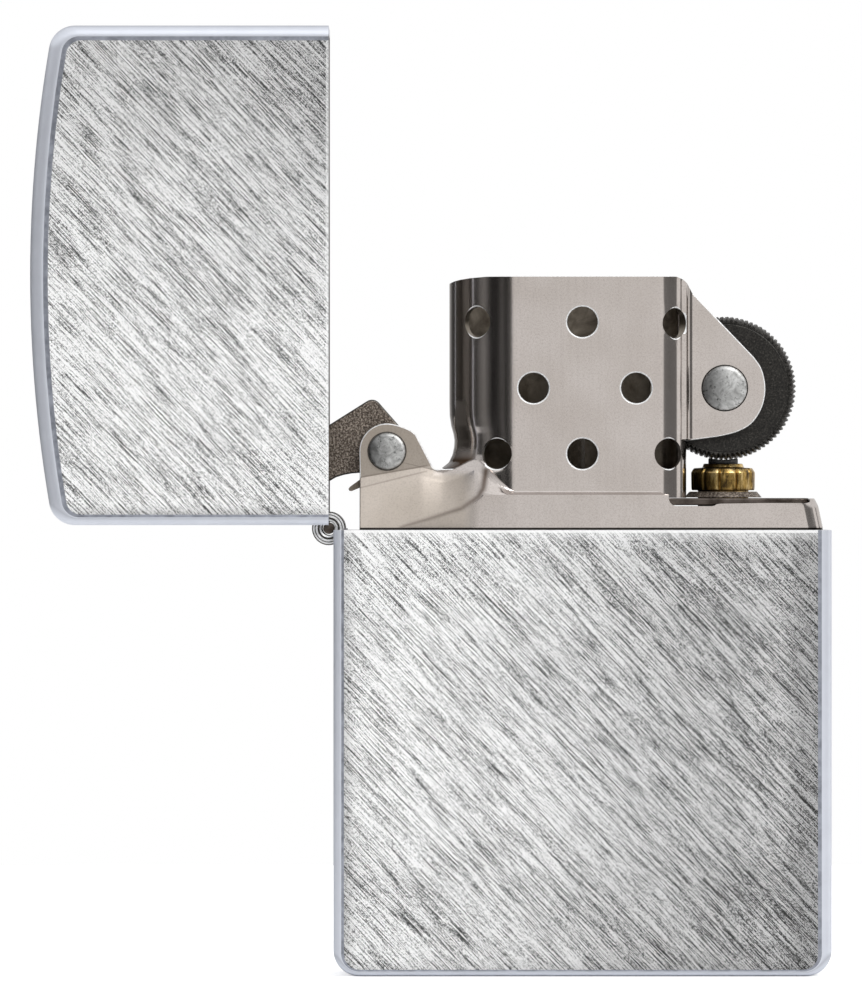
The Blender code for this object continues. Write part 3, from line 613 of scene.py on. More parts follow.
def brass():
    """Yellow brass with dark tarnish in patches, and painted shade on the flint tube's left side."""
    paint = Painter("brass", (0.7, 0.48, 0.18), 0.28)
    tarnish = paint.noise(1.4, 5.0, 0.7, 0.0, paint.turned(0, (1.0, 1.0, 0.45)))
    grain = paint.noise(10.0, 3.0, 0.6)
    stops = ((0.36, (0.06, 0.038, 0.016)), (0.50, (0.40, 0.26, 0.08)), (0.64, (0.90, 0.68, 0.32)))
    left_painted_shade = paint.spread(paint.x, FLINT_X - 1.6, FLINT_X + 0.7, 0.35, 1.1)
    tone = paint.tinted(paint.ramp(tarnish, *stops), left_painted_shade)
    return paint.finish(tone, grain, (0.2, 0.42), (0.2, 0.015))


def wick_cotton(top):
    """Braided cotton, off white below and charred at the tip."""
    paint = Painter("wick_cotton", (0.8, 0.77, 0.69), 0.95, 0.0)
    fibres = paint.noise(7.0, 5.0, 0.7)
    char = paint.spread(paint.z + fibres * 1.6, top - 2.0, top + 0.6, kind="LINEAR")
    clean = paint.ramp(fibres, (0.3, (0.55, 0.51, 0.43)), (0.7, (0.86, 0.83, 0.76)))
    browned = paint.ramp(fibres, (0.3, (0.07, 0.055, 0.038)), (0.7, (0.17, 0.14, 0.105)))
    clean = paint.mix(clean, browned, paint.spread(paint.z, 36.8, 38.6))
    paint.set("Sheen Weight", 0.3)
    return paint.finish(paint.mix(clean, (0.03, 0.026, 0.022), char), fibres, None, (0.6, 0.05))


BRUSHED = brushed_chrome()
SATIN = satin_chrome()
BORDER = plain(  # painted dark reflection on the narrow line where a face meets its rounded edge, and on the lid's mouth chamfer
    "painted_border_reflection", (0.3, 0.32, 0.36), 0.35, 0.7, (1.3, 4.0, 0.6),
    ((0.35, (0.22, 0.235, 0.27)), (0.65, (0.38, 0.40, 0.46))), (0.25, 0.4),
)
INNER = plain(  # the dull, slightly brown chrome inside the case and the lid
    "inner_chrome", (0.4, 0.38, 0.36), 0.4, 0.8, (0.4, 4.0, 0.6),
    ((0.3, (0.30, 0.285, 0.265)), (0.7, (0.46, 0.44, 0.415))), (0.32, 0.46),
)
STEEL = steel_sheet()
SOOTY = plain(  # the inside of the windscreen, browned by heat and soot
    "sooty_steel", (0.2, 0.17, 0.14), 0.35, 1.0, (0.6, 5.0, 0.65, 0.6),
    ((0.3, (0.10, 0.082, 0.062)), (0.7, (0.34, 0.30, 0.25))), (0.25, 0.5), (0.15, 0.02),
)
EDGE = plain(  # bright sheared metal at the rims of the punched holes and the ears, and a painted highlight on the chamfers of the case's mouth, the windscreen's top and the hinge knuckles' flat rings
    "bright_edge_and_highlight", (0.95, 0.94, 0.92), 0.45, 0.5, (6.0, 3.0, 0.6), ((0.3, 0.6), (0.6, 0.9)), (0.35, 0.55),
)
DECK_STEEL = plain(  # duller and browner than the folded sheet
    "deck_steel", (0.22, 0.19, 0.17), 0.35, 1.0, (0.9, 4.0, 0.6),
    ((0.3, (0.05, 0.04, 0.033)), (0.7, (0.16, 0.135, 0.12))), (0.28, 0.45),
)
PLATED = plain(
    "plated_steel", (0.56, 0.56, 0.58), 0.25, 1.0, (1.8, 4.0, 0.6),
    ((0.3, (0.36, 0.36, 0.38)), (0.7, (0.64, 0.64, 0.66))), (0.2, 0.35), (0.1, 0.01),
)
BLACKENED = blackened_steel()
WHEEL_STEEL = wheel_steel()
BRASS = brass()
FERROCERIUM = plain(
    "ferrocerium", (0.1, 0.1, 0.1), 0.6, 0.6, (6.0, 5.0, 0.8),
    ((0.3, 0.03), (0.7, 0.17)), (0.5, 0.75), (0.5, 0.03),
)
FIBRE = plain(
    "loose_fibre", (0.88, 0.87, 0.83), 1.0, 0.0, (3.2, 6.0, 0.8, 1.5),
    ((0.3, (0.66, 0.65, 0.60)), (0.6, (0.92, 0.91, 0.88))), None, (0.9, 0.12), 0.4,
)
FELT = plain(
    "wool_felt", (0.42, 0.41, 0.40), 1.0, 0.0, (5.5, 6.0, 0.8, 0.8),
    ((0.3, (0.22, 0.21, 0.20)), (0.65, (0.52, 0.51, 0.49))), None, (0.8, 0.08), 0.4,
)
# The meshes' material indices count through these.
INSERT_MATERIALS = (STEEL, SOOTY, EDGE)
HINGE_MATERIALS = (PLATED, WHEEL_STEEL, EDGE)
SHELL_MATERIALS = (SATIN, BRUSHED, BORDER, INNER, EDGE)


# ---- case and lid

def case_outline(pull, top, borders=(1.0, 1.0, 1.0)):
    """The case's front outline, drawn in at its left, right and floor by pull times the borders."""
    half = (CASE_HIGH.x - CASE_LOW.x) / 2
    left_in, right_in, floor_in = (pull * share for share in borders)
    radius = CORNER - pull
    floor = CASE_LOW.z + floor_in + radius
    left = arc((left_in + radius - half, floor), radius, 180, 270, 14)
    right = arc((half - right_in - radius, floor), radius, 270, 360, 14)
    return [(left_in - half, top), *left, *right, (half - right_in, top)]


def lid_outline(pull, mouth, borders=(1.0, 1.0, 1.0)):
    """The open lid's outline: its mouth faces +X, and its domed top faces -X.

    It is drawn in at the dome, the lower and the upper side by pull times the borders.
    """
    dome_in, low_in, high_in = (pull * share for share in borders)
    low, high = LID_LOW.z + low_in, LID_HIGH.z - high_in
    half, middle = (high - low) / 2, (high + low) / 2
    radius, big = CORNER - pull, DOME_RADIUS
    lean = math.degrees(math.asin((half - radius) / (big - radius)))
    centre_x = LID_LOW.x + dome_in + big
    corner_x = polar((centre_x, middle), big - radius, 180 - lean)[0]
    first = arc((corner_x, low + radius), radius, 270, 180 + lean, 14)
    dome = arc((centre_x, middle), big, 180 + lean, 180 - lean, 26)[1:-1]
    last = arc((corner_x, high - radius), radius, 180 - lean, 90, 14)
    return [(mouth, low), *first, *dome, *last, (mouth, high)]


def front_to_back(outline, levels, *options):
    """Rings at the (half depth, inset) levels in front, and then at the same levels behind."""
    front = [[(x, -y, z) for x, z in outline(pull, *options)] for y, pull in levels]
    return front + [[(x, -y, z) for x, y, z in ring] for ring in reversed(front)]


def shell_rings(outline, mouth, borders):
    """Rings from front to back: the flat face, its border line with a painted dark reflection, and the
    rounded edge.
    """
    half, radius = DEPTH / 2, BAND - 0.03
    levels = [(half, BAND + 0.20), (half - 0.04, BAND + 0.08)]
    levels += [(half - 0.015 - depth, pull) for depth, pull in quarter(radius, 8)]
    bands = [2, 2] + [0] * 8
    return front_to_back(outline, levels, mouth, borders), bands + [0] + bands[::-1]


def bevel_rim(shell, at_mouth, material):
    """Cuts a fine chamfer round the shell's mouth, where at_mouth(place) is true."""
    mesh = bmesh.new()
    mesh.from_mesh(shell.data)
    rim = [
        edge for edge in mesh.edges
        if all(at_mouth(vert.co / MM) for vert in edge.verts) and edge.calc_face_angle(0.0) > math.radians(60)
    ]
    bmesh.ops.bevel(
        mesh, geom=rim, offset=0.09 * MM, segments=1, profile=0.5, affect="EDGES",
        clamp_overlap=True, material=material,
    )
    mesh.to_mesh(shell.data)
    mesh.free()


def cavity(outline, beyond):
    levels = [(DEPTH / 2 - WALL - depth, WALL + pull) for depth, pull in quarter(0.35, 4)]
    rings = front_to_back(outline, levels, beyond)
    return loft(rings, [3] * (len(rings) - 1), 3, 3)


def build_shell(body, outline, borders, mouth, slot_low, slot_high, at_mouth, rim):
    """A drawn shell with its hollow, a slot for the hinge and an eased mouth."""
    rings, bands = shell_rings(outline, mouth, borders)
    shell = new_object(body, loft(rings, bands, 1, 1), SHELL_MATERIALS)
    slot = box((slot_low[0], -HINGE_HALF, slot_low[1]), (slot_high[0], HINGE_HALF, slot_high[1]))
    cut(shell, cavity(outline, mouth + 1), slot)
    bevel_rim(shell, at_mouth, rim)
    finish_piece(shell, body, f"{body}_shell")


def build_shells():
    # The case's mouth chamfer takes the bright edge material as a painted highlight, and the lid's takes the
    # border material as a painted dark line.
    build_shell(
        "case", case_outline, CASE_BORDERS, CASE_HIGH.z,
        (HINGE[0] - 2, HINGE[1] - KNUCKLE - 0.1), (HINGE[0] + 1.1, CASE_HIGH.z + 1),
        lambda place: place.z > CASE_HIGH.z - 0.001, 4,
    )
    build_shell(
        "lid", lid_outline, LID_BORDERS, LID_HIGH.x,
        (HINGE[0] - KNUCKLE - 0.1, HINGE[1] - 1), (LID_HIGH.x + 1, HINGE[1] + 1.1),
        lambda place: place.x > LID_HIGH.x - 0.001, 2,
    )


# ---- hinge

CASE_KNUCKLES = ((-4.6, -2.8), (-0.9, 0.9), (2.8, 4.6))
LID_KNUCKLES = ((-2.7, -1.0), (1.0, 2.7))
PIN = 0.43
LEAF = 0.4
LEAF_HALF = 4.6
LEAF_GAP = 1.37
TONGUE = 1.8
WELDS = (-2.6, 0.0, 2.6)


def knuckle(front, back):
    """One rolled knuckle: a tube with eased ends and a countersunk mouth."""
    end = [(0.52, 0.22), (0.56, 0.10), (0.70, 0.0), (0.73, 0.07), (0.83, 0.07), (0.86, 0.0), (1.01, 0.0)]
    end += [(1.04, 0.05), (1.08, 0.0), (1.20, 0.0), (1.235, 0.04), (KNUCKLE, 0.12)]
    profile = end + [(radius, back - front - height) for radius, height in reversed(end)]
    # The end faces take painted shade (index 1) in the groove and on the chamfers, and painted highlights
    # (index 2) on the flat rings and part of the countersink.
    rings = [1, 2, 1, 1, 1, 2, 1, 1, 2, 1, 1]
    return lathe(profile, facing(*HINGE, 1, front), 40, None, rings + [0] + rings[::-1] + [0])


def leaf(body, knuckles, outline, tongues, dimples):
    """One leaf of the hinge: a plate with tongues that run into its rolled knuckles."""
    plate = plate_y(outline, -LEAF_HALF, LEAF_HALF, 0.1)
    piece = new_object(f"{body}_hinge_leaf", plate, HINGE_MATERIALS)
    join(piece, *tongues)
    for front, back in knuckles:
        join(piece, knuckle(front, back))
        cut(piece, rod(0.52, -0.1, back - front + 0.1, facing(*HINGE, 1, front), 32))
    cut(piece, *dimples)
    finish_piece(piece, body, f"hinge_leaf_{body}")


def weld_dimple(place, axis):
    """A shallow spot-weld dimple on a leaf."""
    ball = bmesh.new()
    bmesh.ops.create_uvsphere(ball, u_segments=24, v_segments=12, radius=1.2)
    bmesh.ops.translate(ball, vec=Vector(place) + Vector(axis) * 1.1, verts=ball.verts)
    return ball


def build_hinge():
    low = box_mm("hinge_leaf_case")[0]
    inner, end = CASE_LOW.x + WALL + 0.04, HINGE[1] - LEAF_GAP
    outline = [(inner, low.z), (inner + LEAF, low.z), (inner + LEAF, end), (inner, end)]
    tongues = [box((inner, a, HINGE[1] - TONGUE), (inner + LEAF, b, HINGE[1])) for a, b in CASE_KNUCKLES]
    dimples = [weld_dimple((inner + LEAF, y, low.z + 3.2), (1, 0, 0)) for y in WELDS]
    leaf("case", CASE_KNUCKLES, outline, tongues, dimples)
    low = box_mm("hinge_leaf_lid")[0]
    inner, end = LID_LOW.z + WALL + 0.04, HINGE[0] - LEAF_GAP
    outline = [(low.x, inner), (end, inner), (end, inner + LEAF), (low.x, inner + LEAF)]
    tongues = [box((HINGE[0] - TONGUE, a, inner), (HINGE[0], b, inner + LEAF)) for a, b in LID_KNUCKLES]
    dimples = [weld_dimple((low.x + 3.2, y, inner + LEAF), (0, 0, 1)) for y in WELDS]
    leaf("lid", LID_KNUCKLES, outline, tongues, dimples)
    pin = rounded_profile([(0.0, -LEAF_HALF), (PIN, -LEAF_HALF), (PIN, LEAF_HALF), (0.0, LEAF_HALF)], 0.14)
    add_piece("pin", lathe(pin, facing(*HINGE, 1), 32), DECK_STEEL, "case", "hinge_pin")


# ---- insert shell

# Lines (x, z) on the tank's front: where the pinch starts, and where the ears and windscreen rise.
CREASE = (
    (-17.1, 33.4), (-13.7, 34.4), (-12.0, 35.0), (-9.8, 35.7), (-8.2, 36.5), (-7.7, 36.93), (20.0, 36.93),
)
EAR_FOOT = (
    (-17.1, 38.2), (-12.3, 39.03), (-11.6, 38.85), (-11.1, 38.72), (-10.7, 38.62), (-10.0, 38.84),
    (-9.3, 39.16), (-8.7, 39.48), (-8.2, 39.66), (-7.9, 39.55), (-7.5, 39.2), (-6.8, 38.5), (-6.2, 37.9),
    (-5.6, 37.4), (-5.2, 37.2), (20.0, 37.2),
)


def screen_half_depth(x):
    """Half the windscreen's depth at x, along its flat front and its round left end."""
    if x >= ROUND_X:
        return SCREEN_HALF
    reach = SCREEN_HALF**2 - (x - ROUND_X) ** 2
    return math.sqrt(reach) if reach > 0 else 0.0


def tank_half_depth(x, z):
    """Half the tank's depth: full below the crease, then pinched in to the ears and windscreen."""
    start, end = between(x, CREASE), between(x, EAR_FOOT)
    knee = end - min(0.75, (end - start) * 0.4)
    ear, screen = EAR_PLANE, screen_half_depth(x)
    upper = (ear + screen + math.sqrt((ear - screen) ** 2 + 0.25)) / 2 + 0.02
    middle = upper + (TANK_HALF - upper) * 0.1
    return between(z, ((start, TANK_HALF), (knee, middle), (end, upper)))


def tank_ring(z, pull, stations):
    share = min(max((z - 34.4) / 1.9, 0.0), 1.0)
    right = CASE_HIGH.x - WALL - 0.05 - 0.4 * share - 0.5 * max(z - 35.9, 0.0) ** 2 - pull
    left = INSERT_LOW.x + pull
    corner = 1.2 - 1.1 * min(max((z - 32.9) / 1.2, 0.0), 1.0)
    radius = max(corner - pull, 0.08)
    depth_left = tank_half_depth(INSERT_LOW.x + 0.6, z) - pull
    depth_right = TANK_HALF - pull
    half = arc((left + radius, radius - depth_left), radius, 180, 270, 8)
    half += [(x, pull - tank_half_depth(x, z)) for x in stations]
    right_radius = max(1.2 - pull, 0.1)
    half += arc((right - right_radius, right_radius - depth_right), right_radius, 270, 360, 8)
    return [(x, y, z) for x, y in mirrored(half)]


def build_tank():
    stations = steps_between(-15.6, -8.6, 0.25) + steps_between(-8.45, -5.0, 0.11) + [-4.0, 0.0, 6.0, 12.0]
    levels = [INSERT_LOW.z, 18.0, 32.5] + steps_between(33.2, 40.0, 0.1)
    tank = new_object("insert", loft([tank_ring(z, 0.0, stations) for z in levels]), INSERT_MATERIALS)
    inner_levels = [INSERT_LOW.z - 1] + levels[1:-1] + [41.0]
    cut(tank, loft([tank_ring(z, SHEET, stations) for z in inner_levels]))
    foot = [(x, z - 0.02) for x, z in EAR_FOOT[1:-1]]
    step = [(5.75, 37.18), (6.0, 37.1), (6.3, 36.95), *arc((7.25, 36.68), 0.65, 160, 270, 8)]
    lip = [(9.9, 36.03), (10.1, 36.06), (10.3, 36.18), (10.6, 36.22), (14.0, 36.27), (17.2, 36.27)]
    hook = [(17.42, 36.35), (17.5, 36.62), (20.0, 36.62)]
    above = [(-19.0, 37.9), (-17.1, 38.18), *foot, *step, *lip, *hook, (20.0, 60.0), (-19.0, 60.0)]
    cut(tank, prism_y(above, -8, 8), box((-19, -3.12, 37.2), (-15.8, 3.12, 45)))
    return tank


def cam_ear_outline():
    crown = arc(CAM, 2.13, 180, 80, 14)
    crown += [polar(CAM, reach, turn) for turn, reach in ((65, 2.17), (52, 2.28), (40, 2.44), (30, 2.56))]
    notch = [(-11.62, 39.28), *arc((-11.12, 39.32), 0.47, 205, 285, 6)]
    left = INSERT_LOW.x
    return [(left, 37.0), (left, 38.5), *crown, *notch, (-10.3, 38.9), (-9.4, 38.9), (-9.4, 37.0)]


SCREEN_END = (
    (36.6, 4.42), (38.3, 4.45), (38.75, 4.75), (38.95, 5.45), (39.08, 5.3), (39.4, 4.9), (40.0, 4.62),
    (40.6, 4.5), (41.1, 4.47), (41.6, 4.55), (42.2, 4.72), (43.0, 4.84), (44.0, 4.86),
)


def screen_ring(z, pull):
    """The windscreen in plan at one height. Its left end draws in and then flares near the foot."""
    end = between(z, SCREEN_END) - pull
    deep = SCREEN_HALF - pull
    tight = TIGHT - pull
    corner_x, corner_y = SCREEN_RIGHT - TIGHT, SCREEN_HALF - TIGHT
    turns = [math.radians(turn) for turn in range(90, 271, 3)]
    left = [(ROUND_X + end * math.cos(turn), deep * math.sin(turn)) for turn in turns]
    front = [(x, -deep) for x in (-5.15, -4.9, 0.0, 5.6, 5.9)]
    front += arc((corner_x, -corner_y), tight, 270, 360, 14)
    back = arc((corner_x, corner_y), tight, 0, 90, 14) + [(x, deep) for x in (5.9, 5.6, 0.0, -4.9, -5.15)]
    return [(x, y, z) for x, y in left + front + back]


def build_screen_body():
    levels = steps_between(DECK_HIGH.z + 0.02, 44.0, 0.12) + steps_between(45.0, SCREEN_TOP - 0.3, 1.4)
    levels.append(SCREEN_TOP - 0.06)
    rings = [screen_ring(z, 0.0) for z in levels] + [screen_ring(SCREEN_TOP, 0.06)]
    # The top chamfer and the top face take the bright edge material, a painted highlight along the
    # windscreen's top.
    bands = [0] * (len(rings) - 2) + [2]
    screen = new_object("screen", loft(rings, bands, 0, 2), INSERT_MATERIALS)
    inner = [screen_ring(z, SHEET) for z in (35.9, *levels[1:-1], SCREEN_TOP + 1)]
    cut(screen, loft(inner, [1] * (len(inner) - 1), 1, 1))
    gap = WHEEL_EAR - SHEET
    cut(screen, box((SCREEN_RIGHT - 1, -gap, 36), (SCREEN_RIGHT + 1, gap, SCREEN_TOP + 1)))
    return screen


def trim_screen(screen):
    """Rounds the windscreen's upper corners off, down to the slope of the wheel ears."""
    right = [
        (6.85, SCREEN_TOP + 0.02), (7.3, 53.62), (7.75, 53.42), (8.06, 53.13), (8.28, 52.72), (8.5, 52.3),
        (9.6, 51.21), (12.0, 53.0), (12.0, 56.0), (6.75, 56.0),
    ]
    left = [
        (-6.4, SCREEN_TOP + 0.02), (-7.6, 53.62), (-8.6, 53.54), (-9.3, 53.44), (-9.8, 53.33), (-10.1, 53.2),
        (-10.5, 53.0), (-12.0, 53.0), (-12.0, 56.0), (-6.4, 56.0),
    ]
    cut(screen, prism_y(right, -8, 8), prism_y(left, -8, 8))


def wheel_ear_outline():
    left = SCREEN_RIGHT - 0.35
    nose = [(13.15, 47.52), (13.72, 46.7), (14.03, 45.6), (14.03, 44.5), (13.7, 43.38), (12.95, 42.33)]
    nose = smooth_line([*nose, (11.8, 41.7), (10.4, 41.36)], 5)
    return [(left, 53.2), (8.1, 52.8), (10.6, 50.18), *nose, (8.4, 41.1), (left, 41.1)]


def ear_fillet():
    """The bend between the windscreen's tight round and the wheel ear."""
    section = [(7.6, -4.1), *arc((8.62, -4.06), 0.63, 195, 90, 9)[1:], (8.62, -3.1), (7.6, -3.1)]
    return plate_z(section, 41.12, 53.4, 0.1)


def hole_cutter(side, circle, turn, z, squeeze=1.0):
    """A cutter with a small chamfer, square to the sheet where it bends round a circle (x, y, radius)."""
    x, centre_y, radius = circle
    profile = [(0.0, -1.6), (HOLE - 0.06, -1.6), (HOLE - 0.05, -0.08)]
    profile += [(HOLE + 0.07, 0.015), (HOLE + 0.07, 1.5), (0.0, 1.5)]
    around = math.radians(turn)
    out = Vector((math.sin(around), side * math.cos(around), 0.0))
    spot = Vector((x, side * centre_y, z)) + out * radius
    aim = out.to_track_quat("Z", "Y").to_matrix().to_4x4()
    across = (aim.inverted() @ Vector((out.y, -out.x, 0.0))).normalized()
    place = Matrix.Translation(spot) @ aim @ Matrix.Scale(squeeze, 4, across)
    return lathe(profile, place, 48, None, [1, 1, 2, 2, 2])


def build_holes():
    """Eight holes at the front, and seven at the back that lie between the front ones."""
    left = (ROUND_X, 0.0, SCREEN_HALF)
    right = (SCREEN_RIGHT - TIGHT, SCREEN_HALF - TIGHT, TIGHT)
    one, two, three = ((x, 0.0, SCREEN_HALF) for x in (-3.75, 0.0, 4.14))
    top, middle, bottom = 50.17, 45.1, 40.05
    front = (
        (two, 0, top), (one, 0, middle), (three, 0, middle), (two, 0, bottom),
        (left, -35, top), (left, -15, bottom), (right, 33, top - 0.1, 0.86), (right, 15, bottom, 0.92),
    )
    back = (
        (one, 0, top), (three, 0, top), (left, -25, middle), (two, 0, middle), (right, 20, middle),
        (one, 0, bottom), (three, 0, bottom),
    )
    return [hole_cutter(-1, *hole) for hole in front] + [hole_cutter(1, *hole) for hole in back]


def through(place, radius):
    return rod(radius, -7, 7, facing(*place), 36)


REFLECTION_STREAK = ((-7.4, 38.75), (-7.62, 37.4), (-8.0, 36.75), (-9.3, 35.85), (-11.5, 35.15), (-14.0, 34.4))


def reflection_streak_shade(x, z):
    """How dark the painted reflection streak along the pinch is at (x, z): strong at its top, fading
    leftwards.
    """
    best = 0.0
    spot = Vector((x, z))
    for i, (a, b) in enumerate(zip(REFLECTION_STREAK, REFLECTION_STREAK[1:])):
        a, b = Vector(a), Vector(b)
        share = min(max((spot - a).dot(b - a) / (b - a).length_squared, 0.0), 1.0)
        along = (i + share) / (len(REFLECTION_STREAK) - 1)
        width = 0.3 - 0.2 * along
        best = max(best, (0.95 - 0.45 * along) * math.exp(-((spot - a.lerp(b, share)).length / width) ** 2))
    return best


def foot_shade(x, z):
    """Painted shade on the windscreen's flared foot, just above the sheet that it is drawn from."""
    above = z - between(x, EAR_FOOT)
    if not -11.3 < x < -8.0 or z > 40.6:
        return 0.0
    return min(max((above + 0.06) / 0.12, 0.0), 1.0) * min(1.0, (40.6 - z) / 1.0, (-8.0 - x) / 0.5)


def shade_insert(insert):
    mesh = insert.data
    shade = mesh.attributes.new("shade", "FLOAT", "POINT")
    for item, vert in zip(shade.data, mesh.vertices):
        x, y, z = vert.co / MM
        item.value = max(reflection_streak_shade(x, z) if abs(y) > 3.4 else 0.0, foot_shade(x, z))


def build_insert():
    insert = build_tank()
    screen = build_screen_body()
    for shape in (plate_y(wheel_ear_outline(), -WHEEL_EAR, SHEET - WHEEL_EAR, rim=2), ear_fillet()):
        join(screen, mirror_back(shape), shape)
    trim_screen(screen)
    body = bmesh.new()
    body.from_mesh(screen.data)
    bmesh.ops.scale(body, vec=(1 / MM,) * 3, verts=body.verts)
    bpy.data.objects.remove(screen)
    join(insert, body)
    ear = plate_y(cam_ear_outline(), -EAR_PLANE, SHEET - EAR_PLANE, rim=2)
    join(insert, mirror_back(ear), ear)
    cut(insert, through(CAM, 0.86), through(WHEEL, 1.02), *build_holes())
    shade_insert(insert)
    finish_piece(insert, "insert", "insert_shell", 22)


def build_deck():
    """The plate that closes the tank, with a pressed rim, a wick hole and a flint-tube hole."""
    right, deep, narrow, corner = DECK_HIGH.x, DECK_HIGH.y, 3.15, 0.7
    front = [(DECK_LOW.x, -narrow), (-9.5, -narrow), (-7.5, -deep)]
    front += arc((right - corner, corner - deep), corner, 270, 360, 8)
    deck = new_object("deck_plate", plate_z(mirrored(front), DECK_LOW.z, DECK_HIGH.z, 0.12), (DECK_STEEL,))
    for x, radius in ((WICK_X, 1.7), (FLINT_X, 2.05)):
        cut(deck, rod(radius, 30, 40, upright(x), 40))
    finish_piece(deck, "insert", "top_deck")


# ---- cam, rivets and springs

def rivet_shape(place_x, place_z, pin, head, plane):
    """A rivet with a low domed head on each side and a dark ring round the foot of each head."""
    inner, crown = plane + 0.04, plane + 0.39
    half = [(pin, inner), (head + 0.07, inner), (head + 0.03, inner + 0.05), (head - 0.02, inner + 0.05)]
    half += [(head - 0.03, crown - 0.22), (head - 0.09, crown - 0.15), (head * 0.8, crown - 0.105)]
    half += [(head * 0.6, crown - 0.06), (head * 0.3, crown - 0.015), (0.0, crown)]
    profile = mirrored(half[::-1])[::-1]
    dark_ring = [0, 1, 1, 0, 0, 0, 0, 0, 0]
    return lathe(profile, facing(place_x, place_z), 56, None, dark_ring[::-1] + [0] + dark_ring)


def build_rivets():
    for name, node, place, pin, head, plane in (
        ("cam_pin", "cam_rivet", CAM, 0.8, 1.43, EAR_PLANE),
        ("wheel_axle", "wheel_rivet", WHEEL, 0.95, 1.73, WHEEL_EAR),
    ):
        steel = rivet_steel(f"{name}_steel", place[0])
        piece = new_object(name, rivet_shape(*place, pin, head, plane), (steel, WHEEL_STEEL))
        finish_piece(piece, "insert", node, 40)


def cam_outline():
    hub = arc(CAM, 2.1, 60, -125, 28)
    tail = [(-16.55, 38.45), (-17.08, 38.6), (-17.75, 38.55), (-18.37, 38.43), (-18.95, 38.25)]
    tip = [*arc((-19.9, 38.7), 0.85, 245, 165, 8), (-20.74, 40.4), *arc((-20.2, 41.15), 0.55, 175, 125, 4)]
    apex = arc((-16.15, 43.5), 0.72, 124, 35, 8)
    return [*hub, *tail, (-19.43, 37.97), *tip, *apex]


def build_cam():
    shape = plate_y(cam_outline(), -2.7, 2.7, 0.16, 4)
    cam = new_object("snap_cam", shape, (BLACKENED, WHEEL_STEEL))
    cut(cam, through(CAM, 0.88))
    for face in cam.data.polygons:
        face.material_index = 1 if abs(face.normal.y) < 0.97 else 0
    finish_piece(cam, "cam", "lid_cam")


def strip_outline(line, half):
    """The outline of a strip of even width along a line."""
    sides = []
    for before, here, after in zip(line[:1] + line, line, line[1:] + line[-1:]):
        along = Vector(after) - Vector(before)
        across = Vector((-along.y, along.x)).normalized() * half
        sides.append((tuple(Vector(here) + across), tuple(Vector(here) - across)))
    return [upper for upper, _ in sides] + [lower for _, lower in reversed(sides)]


def smooth_line(points, count):
    """A Catmull-Rom curve through the points."""
    ends = [points[0], *points, points[-1]]
    line = []
    for i in range(len(points) - 1):
        a, b, c, d = (Vector(p) for p in ends[i:i + 4])
        for k in range(count):
            t = k / count
            line.append(0.5 * (2 * b + (c - a) * t + (2 * a - 5 * b + 4 * c - d) * t * t
                               + (3 * b - a - 3 * c + d) * t**3))
    line.append(Vector(points[-1]))
    return [tuple(p) for p in line]


def build_cam_spring():
    route = [(-10.45, 36.9), (-11.4, 36.9), (-12.6, 37.5), (-14.2, 37.85), (-16.8, 37.85), (-17.85, 37.4)]
    ribbon = strip_outline(smooth_line(route, 6)[:-5], 0.17)
    half = len(ribbon) // 2
    tip = [(-17.1, 37.46), (-17.72, 37.19), (-17.9, 37.2), (-17.97, 37.36), (-17.87, 37.5), (-17.1, 38.07)]
    shape = plate_y(ribbon[:half] + tip + ribbon[half:], -2.2, 2.2, 0.03, 2)
    add_piece("leaf_spring", shape, SOOTY, "insert", "cam_spring")


# ---- spark wheel

TEETH = 88
WHEEL_RADIUS = 5.52
WHEEL_HALF = 2.72
WORN_RADIUS = 5.47


def wheel_reach(turn, y):
    """The rim's radius: slanted saw teeth that meet in a chevron, eased off at both sides."""
    slant = abs(y) / WHEEL_HALF * 0.45
    phase = (turn / math.tau * TEETH + slant) % 1.0
    tooth = phase / 0.72 if phase < 0.72 else (1.0 - phase) / 0.28
    edge = max(0.0, abs(y) - (WHEEL_HALF - 0.6)) / 0.6
    uneven = 0.5 + noise.noise(Vector((math.cos(turn) * 9, y * 0.8, math.sin(turn) * 9)))
    return WHEEL_RADIUS - (0.2 + 0.16 * uneven) * (1 - tooth) - 0.3 * edge * edge


def build_wheel():
    half = WHEEL_HALF
    side = [(5.02, half), (4.95, half - 0.04), (4.88, half), (2.75, half), (2.65, half - 0.1)]
    side += [(2.55, half), (1.03, half)]
    rim = [(WHEEL_RADIUS, -y) for y in steps_between(-half, half, 0.17)]
    profile = side[::-1] + rim + [(radius, -height) for radius, height in side]

    def teeth(radius, height, turn):
        return wheel_reach(turn, -height) - radius if radius == WHEEL_RADIUS else 0.0

    shape = lathe(profile, facing(*WHEEL), TEETH * 8, teeth)
    add_piece("toothed_wheel", shape, WHEEL_STEEL, "wheel", "spark_wheel", 24, False)


# ---- flint column

FLUTES = 11
COIL = 0.85
COIL_TURNS = 26
WIRE = 0.2
THREAD_PITCH = 0.5


